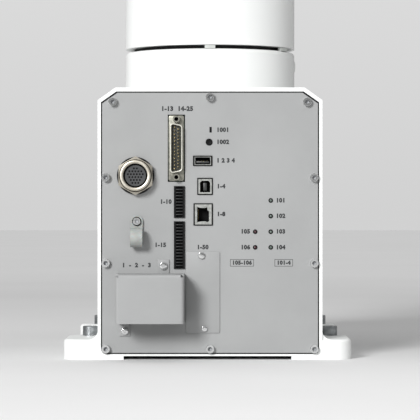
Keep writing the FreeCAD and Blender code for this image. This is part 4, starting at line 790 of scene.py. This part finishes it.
# Small screws of turned stainless steel: a slotted pan head and a button head on the option
# plate, two button heads on the hood's tabs and a socket head on the clip.
def pan_head(bm, radius, height, slot, place):
    head = bmesh.new()
    bmesh.ops.create_circle(head, cap_ends=True, radius=radius, segments=32)
    for side in (-1, 1):
        bmesh.ops.bisect_plane(head, geom=head.verts[:] + head.edges[:] + head.faces[:],
                               plane_co=(side * slot / 2, 0, 0), plane_no=(1, 0, 0))
    floor = height * 0.5
    extrude(head, head.faces[:], (0, 0, floor))
    for side in (-1, 1):
        half = [face for face in head.faces if abs(face.calc_center_median().z - floor) < 1e-4
                and side * face.calc_center_median().x > slot / 2]
        extrude(head, half, (0, 0, height - floor))
    soften(head, height * 0.35, lambda edge: level(edge, height)
           and all(abs(hypot(vert.co.x, vert.co.y) - radius) < 1e-3 for vert in edge.verts), 4)
    add_part(bm, head, place @ Matrix.Rotation(radians(70), 4, "Z"))


def button_head(bm, radius, height, flats, place):
    socket = flats * SOCKET_ROUND
    crown = [(radius * (0.8 + 0.2 * cos(pi * step / 8)), height * (0.5 + 0.5 * sin(pi * step / 8)))
             for step in range(5)]
    fresh = lathe(bm, [(0, 0), (radius, 0), *crown, (socket * 1.1, height), (socket, height * 0.94),
                       (socket, height * 0.8), (0, height * 0.8)], Matrix(), 36)
    for vert in fresh:
        reach = hypot(vert.co.x, vert.co.y)
        if abs(reach - socket) < 1e-3:
            vert.co.xy *= hexagon(flats, atan2(vert.co.y, vert.co.x)) / reach
    bmesh.ops.transform(bm, matrix=place, verts=fresh)


clip_screw = (-59.3, 112.1)
bm = bmesh.new()
pan_head(bm, 2.9, 2, 0.9, seat_at(plate_x - 1.2, face_y - 1, plate_z + 29.95, "-y"))
button_head(bm, 2.45, 1.8, 1.4, seat_at(plate_x + 1.3, face_y - 1, plate_z - 29.35, "-y"))
button_head(bm, 3.3, 2, 1.6, seat_at(upper_screw[0], face_y - sheet_thick, upper_screw[1], "-y"))
button_head(bm, 2.95, 2, 1.6, seat_at(lower_screw[0], face_y - sheet_thick, lower_screw[1], "-y"))
socket_head(bm, 3.1, 1.9, 2.6, seat_at(clip_screw[0], face_y - 3.1, clip_screw[1], "-y"), 36)
make_piece("small_screw_heads", bm, stainless, "base", ["fitting_screws"], inner=socket_shade_steel)

# Cable clip: a strap of natural nylon moulded as a loop, with a rounded tab under its screw. It passes a
# little light under its surface, and its grey, close to the panel's, is painted in for the panel's tone
# showing through the milky nylon.
nylon_painted_panel_grey = finish("nylon_painted_panel_grey", ("#979a97", "#a2a5a2"), 0.006,
                       ("ShaderNodeTexNoise", {"Scale": 1500, "Detail": 2}), 0.00002,
                       {"Roughness": 0.35, "IOR": 1.53, "Subsurface Weight": 0.15, "Subsurface Scale": 0.001})
clip_x, _ = node_middle("cable_clip")
loop_radius, strap, clip_half = 7.75, 1.2, 5
# Painted shade: a black washer under the clip's screw draws the dark ring round its head.
bm = bmesh.new()
lathe(bm, [(0, 0), (3.7, 0), (3.7, 0.5), (3.5, 0.7), (0, 0.7)],
      seat_at(clip_screw[0], face_y - 2.4, clip_screw[1], "-y"), 40)
make_piece("clip_washer_painted_shade", bm, black_moulding, "base")
loop_y, loop_z = face_y - loop_radius, 98.95
bm = bmesh.new()
tail = face_y - 2 * strap
join_turn = 46


def arc(middle, radius, turns):
    return [(middle[0] + radius * cos(radians(turn)), middle[1] + radius * sin(radians(turn)))
            for turn in turns]


outline = arc((loop_y, loop_z), loop_radius, range(join_turn, 361, 9))
outline += [(face_y, clip_screw[1]), (tail, clip_screw[1])]
inside = arc((loop_y, loop_z), loop_radius - strap, range(0, 360, 9))
sides = [clip_half * sin(radians(turn)) for turn in range(-90, 91, 15)]
clip = bmesh.new()
edges = []
for points in (outline, inside):
    loop = [clip.verts.new((-clip_half, y, z)) for y, z in points]
    edges += [clip.edges.new(pair) for pair in zip(loop, loop[1:] + loop[:1])]
bmesh.ops.triangle_fill(clip, use_beauty=True, use_dissolve=False, edges=edges, normal=(1, 0, 0))
front = clip.faces[:]
for start, end in zip(sides, sides[1:]):
    front = extrude(clip, front, (end - start, 0, 0))
for vert in clip.verts:
    if abs(vert.co.z - clip_screw[1]) < 1e-4:
        vert.co.z += sqrt(max(clip_half ** 2 - vert.co.x ** 2, 0))
soften(clip, 0.25, lambda edge: all(abs(abs(vert.co.x) - clip_half) < 1e-4 for vert in edge.verts)
       and len({face.normal.x > 0.9 or face.normal.x < -0.9 for face in edge.link_faces}) == 2)
add_part(bm, clip, Matrix.Translation((clip_x, 0, 0)))
make_piece("cable_strap", bm, nylon_painted_panel_grey, "base", ["cable_clip"], 50)

# Turning joint: a black rubber lip seal in the gap, two acetal blocks that stop and space the column,
# coloured pale grey as painted shade of the gap, and a white plug in the side of the neck.
dress(seal_rubber, "gap_seal_ring")
gap_block_shade = finish("gap_block_painted_shade", ("#b7bab7", "#c2c5c2"), 0.006,
                ("ShaderNodeTexNoise", {"Scale": 1500, "Detail": 2}), 0.00002,
                {"Roughness": 0.4, "IOR": 1.48})
dress(gap_block_shade, "gap_spacer_block", "gap_stop_block", "j1_stop_lug")
plug_low, plug_high = span("neck_plug")
plug_z = (plug_low.z + plug_high.z) / 2
white_moulding = finish("white_polyethylene", ("#dfe1df", "#e7e9e7"), 0.006,
                        ("ShaderNodeTexNoise", {"Scale": 1500, "Detail": 2}), 0.00002,
                        {"Roughness": 0.4, "IOR": 1.5})
bm = bmesh.new()
lathe(bm, dome(4.3, plug_high.x - plug_low.x - 0.5, 0.5), seat_at(plug_low.x, 0, plug_z, "+x"), 40)
make_piece("neck_hole_plug", bm, white_moulding, "base", ["neck_plug"])


# Arm cover screws: low socket heads of stainless steel, in the counterbores of the round covers
# and round the rim of the lower arm's cover.
def ring_of_heads(bm, count, ring_radius, middle, towards, radius, height, flats):
    for number in range(count):
        turn = 2 * pi * (number + 0.5) / count
        across, up = ring_radius * cos(turn), ring_radius * sin(turn)
        spot = (middle[0], middle[1] + across, middle[2] + up)
        if towards[1] == "y":
            spot = (middle[0] + across, middle[1], middle[2] + up)
        socket_head(bm, radius, height, flats, seat_at(*spot, towards), 36, 0.05)


shoulder = (100, 412)
elbow = (100, 832)
roll_z = 867
wrist_y = 500
cover_thick = 5
seat_depth = 1.6
cover_head = 3.6, 2.2, 2.5
rim_head = 3, 2.2, 2.5
wrist_head = 2.8, 1.6, 2
side_low, _ = span("turret_side_cover")
bm = bmesh.new()
ring_of_heads(bm, 8, 67, (side_low.x + cover_thick - seat_depth, *shoulder), "-x", *cover_head)
make_piece("turret_cover_heads", bm, stainless, "turret", ["turret_cover_screws"],
           inner=socket_shade_steel)
arm_face = span("lower_arm_cover")[1].x
arm_spots = arc(shoulder, 62, (-150, -90, -30, 20, 160)) + arc(elbow, 52, (-20, 30, 90, 150, 200))
arm_spots += [(shoulder[0] + side * 38, (shoulder[1] + elbow[1]) / 2) for side in (-1, 1)]
bm = bmesh.new()
for y, z in arm_spots:
    socket_head(bm, *rim_head, seat_at(arm_face, y, z, "+x"), 36, 0.05)
make_piece("lower_arm_cover_heads", bm, stainless, "lower_arm", ["lower_arm_cover_screws"],
           inner=socket_shade_steel)
bm = bmesh.new()
end_seat = span("elbow_end_cover")[0].x + cover_thick - seat_depth
rear_seat = span("elbow_rear_cover")[0].y + cover_thick - seat_depth
ring_of_heads(bm, 6, 49.5, (end_seat, *elbow), "-x", *cover_head)
ring_of_heads(bm, 6, 43.5, (0, rear_seat, roll_z), "-y", *cover_head)
make_piece("elbow_cover_heads", bm, stainless, "elbow", ["elbow_cover_screws"],
           inner=socket_shade_steel)
bm = bmesh.new()
cover_low, cover_high = span("wrist_covers")
ring_of_heads(bm, 4, 22, (cover_low.x, wrist_y, roll_z), "-x", *wrist_head)
ring_of_heads(bm, 4, 22, (cover_high.x, wrist_y, roll_z), "+x", *wrist_head)
make_piece("wrist_cover_heads", bm, stainless, "forearm", ["wrist_cover_screws"],
           inner=socket_shade_steel)

# Tool flange: turned from aluminium bar and clear anodised, so the marks of the tool are fine
# rings. Four screws would hold a gripper on its face.
turned_aluminium = finish("clear_anodised_turned_aluminium", ("#b4b6b8", "#c3c5c7"), 0.01,
                          ("ShaderNodeTexWave", {"wave_type": "RINGS", "rings_direction": "Y", "Scale": 900,
                                                 "Distortion": 0.2}), 0.00001,
                          {"Metallic": 1.0, "Roughness": 0.3})
dress(turned_aluminium, "tool_flange")

# Inside the housings: ground bearing rings, blackened drive units, turned flanges, the control and
# drive boards, the power supply and the mains inlet.
ground_steel = finish("ground_bearing_steel", ("#9b9c9e", "#adaeb0"), 0.01,
                      ("ShaderNodeTexNoise", {"Scale": 900, "Detail": 2}), 0.000005,
                      {"Metallic": 1.0, "Roughness": 0.2}, (1, 1, 12))
dress(ground_steel, "j1_bearing_outer_ring", "j1_bearing_inner_ring", "wrist_hubs")
black_oxide = finish("black_oxide_steel", ("#2b2c2e", "#3a3b3d"), 0.008,
                     ("ShaderNodeTexNoise", {"Scale": 1200, "Detail": 3}), 0.00002,
                     {"Metallic": 0.9, "Roughness": 0.42})
dress(black_oxide, "j1_drive_unit", "j2_drive_unit", "j3_drive_unit", "j4_drive_unit", "j5_drive_unit",
      "j6_drive_unit")
turned_steel = finish("turned_steel", ("#8e9092", "#a2a4a6"), 0.008,
                      ("ShaderNodeTexNoise", {"Scale": 700, "Detail": 2}), 0.00001,
                      {"Metallic": 1.0, "Roughness": 0.3}, (20, 1, 1))
dress(turned_steel, "j1_output_flange", "j2_output_flange", "j3_output_flange", "j4_output_flange")
laminate = finish("green_solder_mask_on_laminate", ("#12432b", "#1b5a38"), 0.002,
                  ("ShaderNodeTexBrick", {"Scale": 350}), 0.00003, {"Roughness": 0.35, "IOR": 1.55})
dress(laminate, "control_board", "drive_board")
galvanised = finish("galvanised_steel", ("#8f9494", "#b4b8b8"), 0.012,
                    ("ShaderNodeTexVoronoi", {"Scale": 160}), 0.00001, {"Metallic": 1.0, "Roughness": 0.4})
dress(galvanised, "power_supply")
dress(black_moulding, "reset_switch", "mains_inlet")
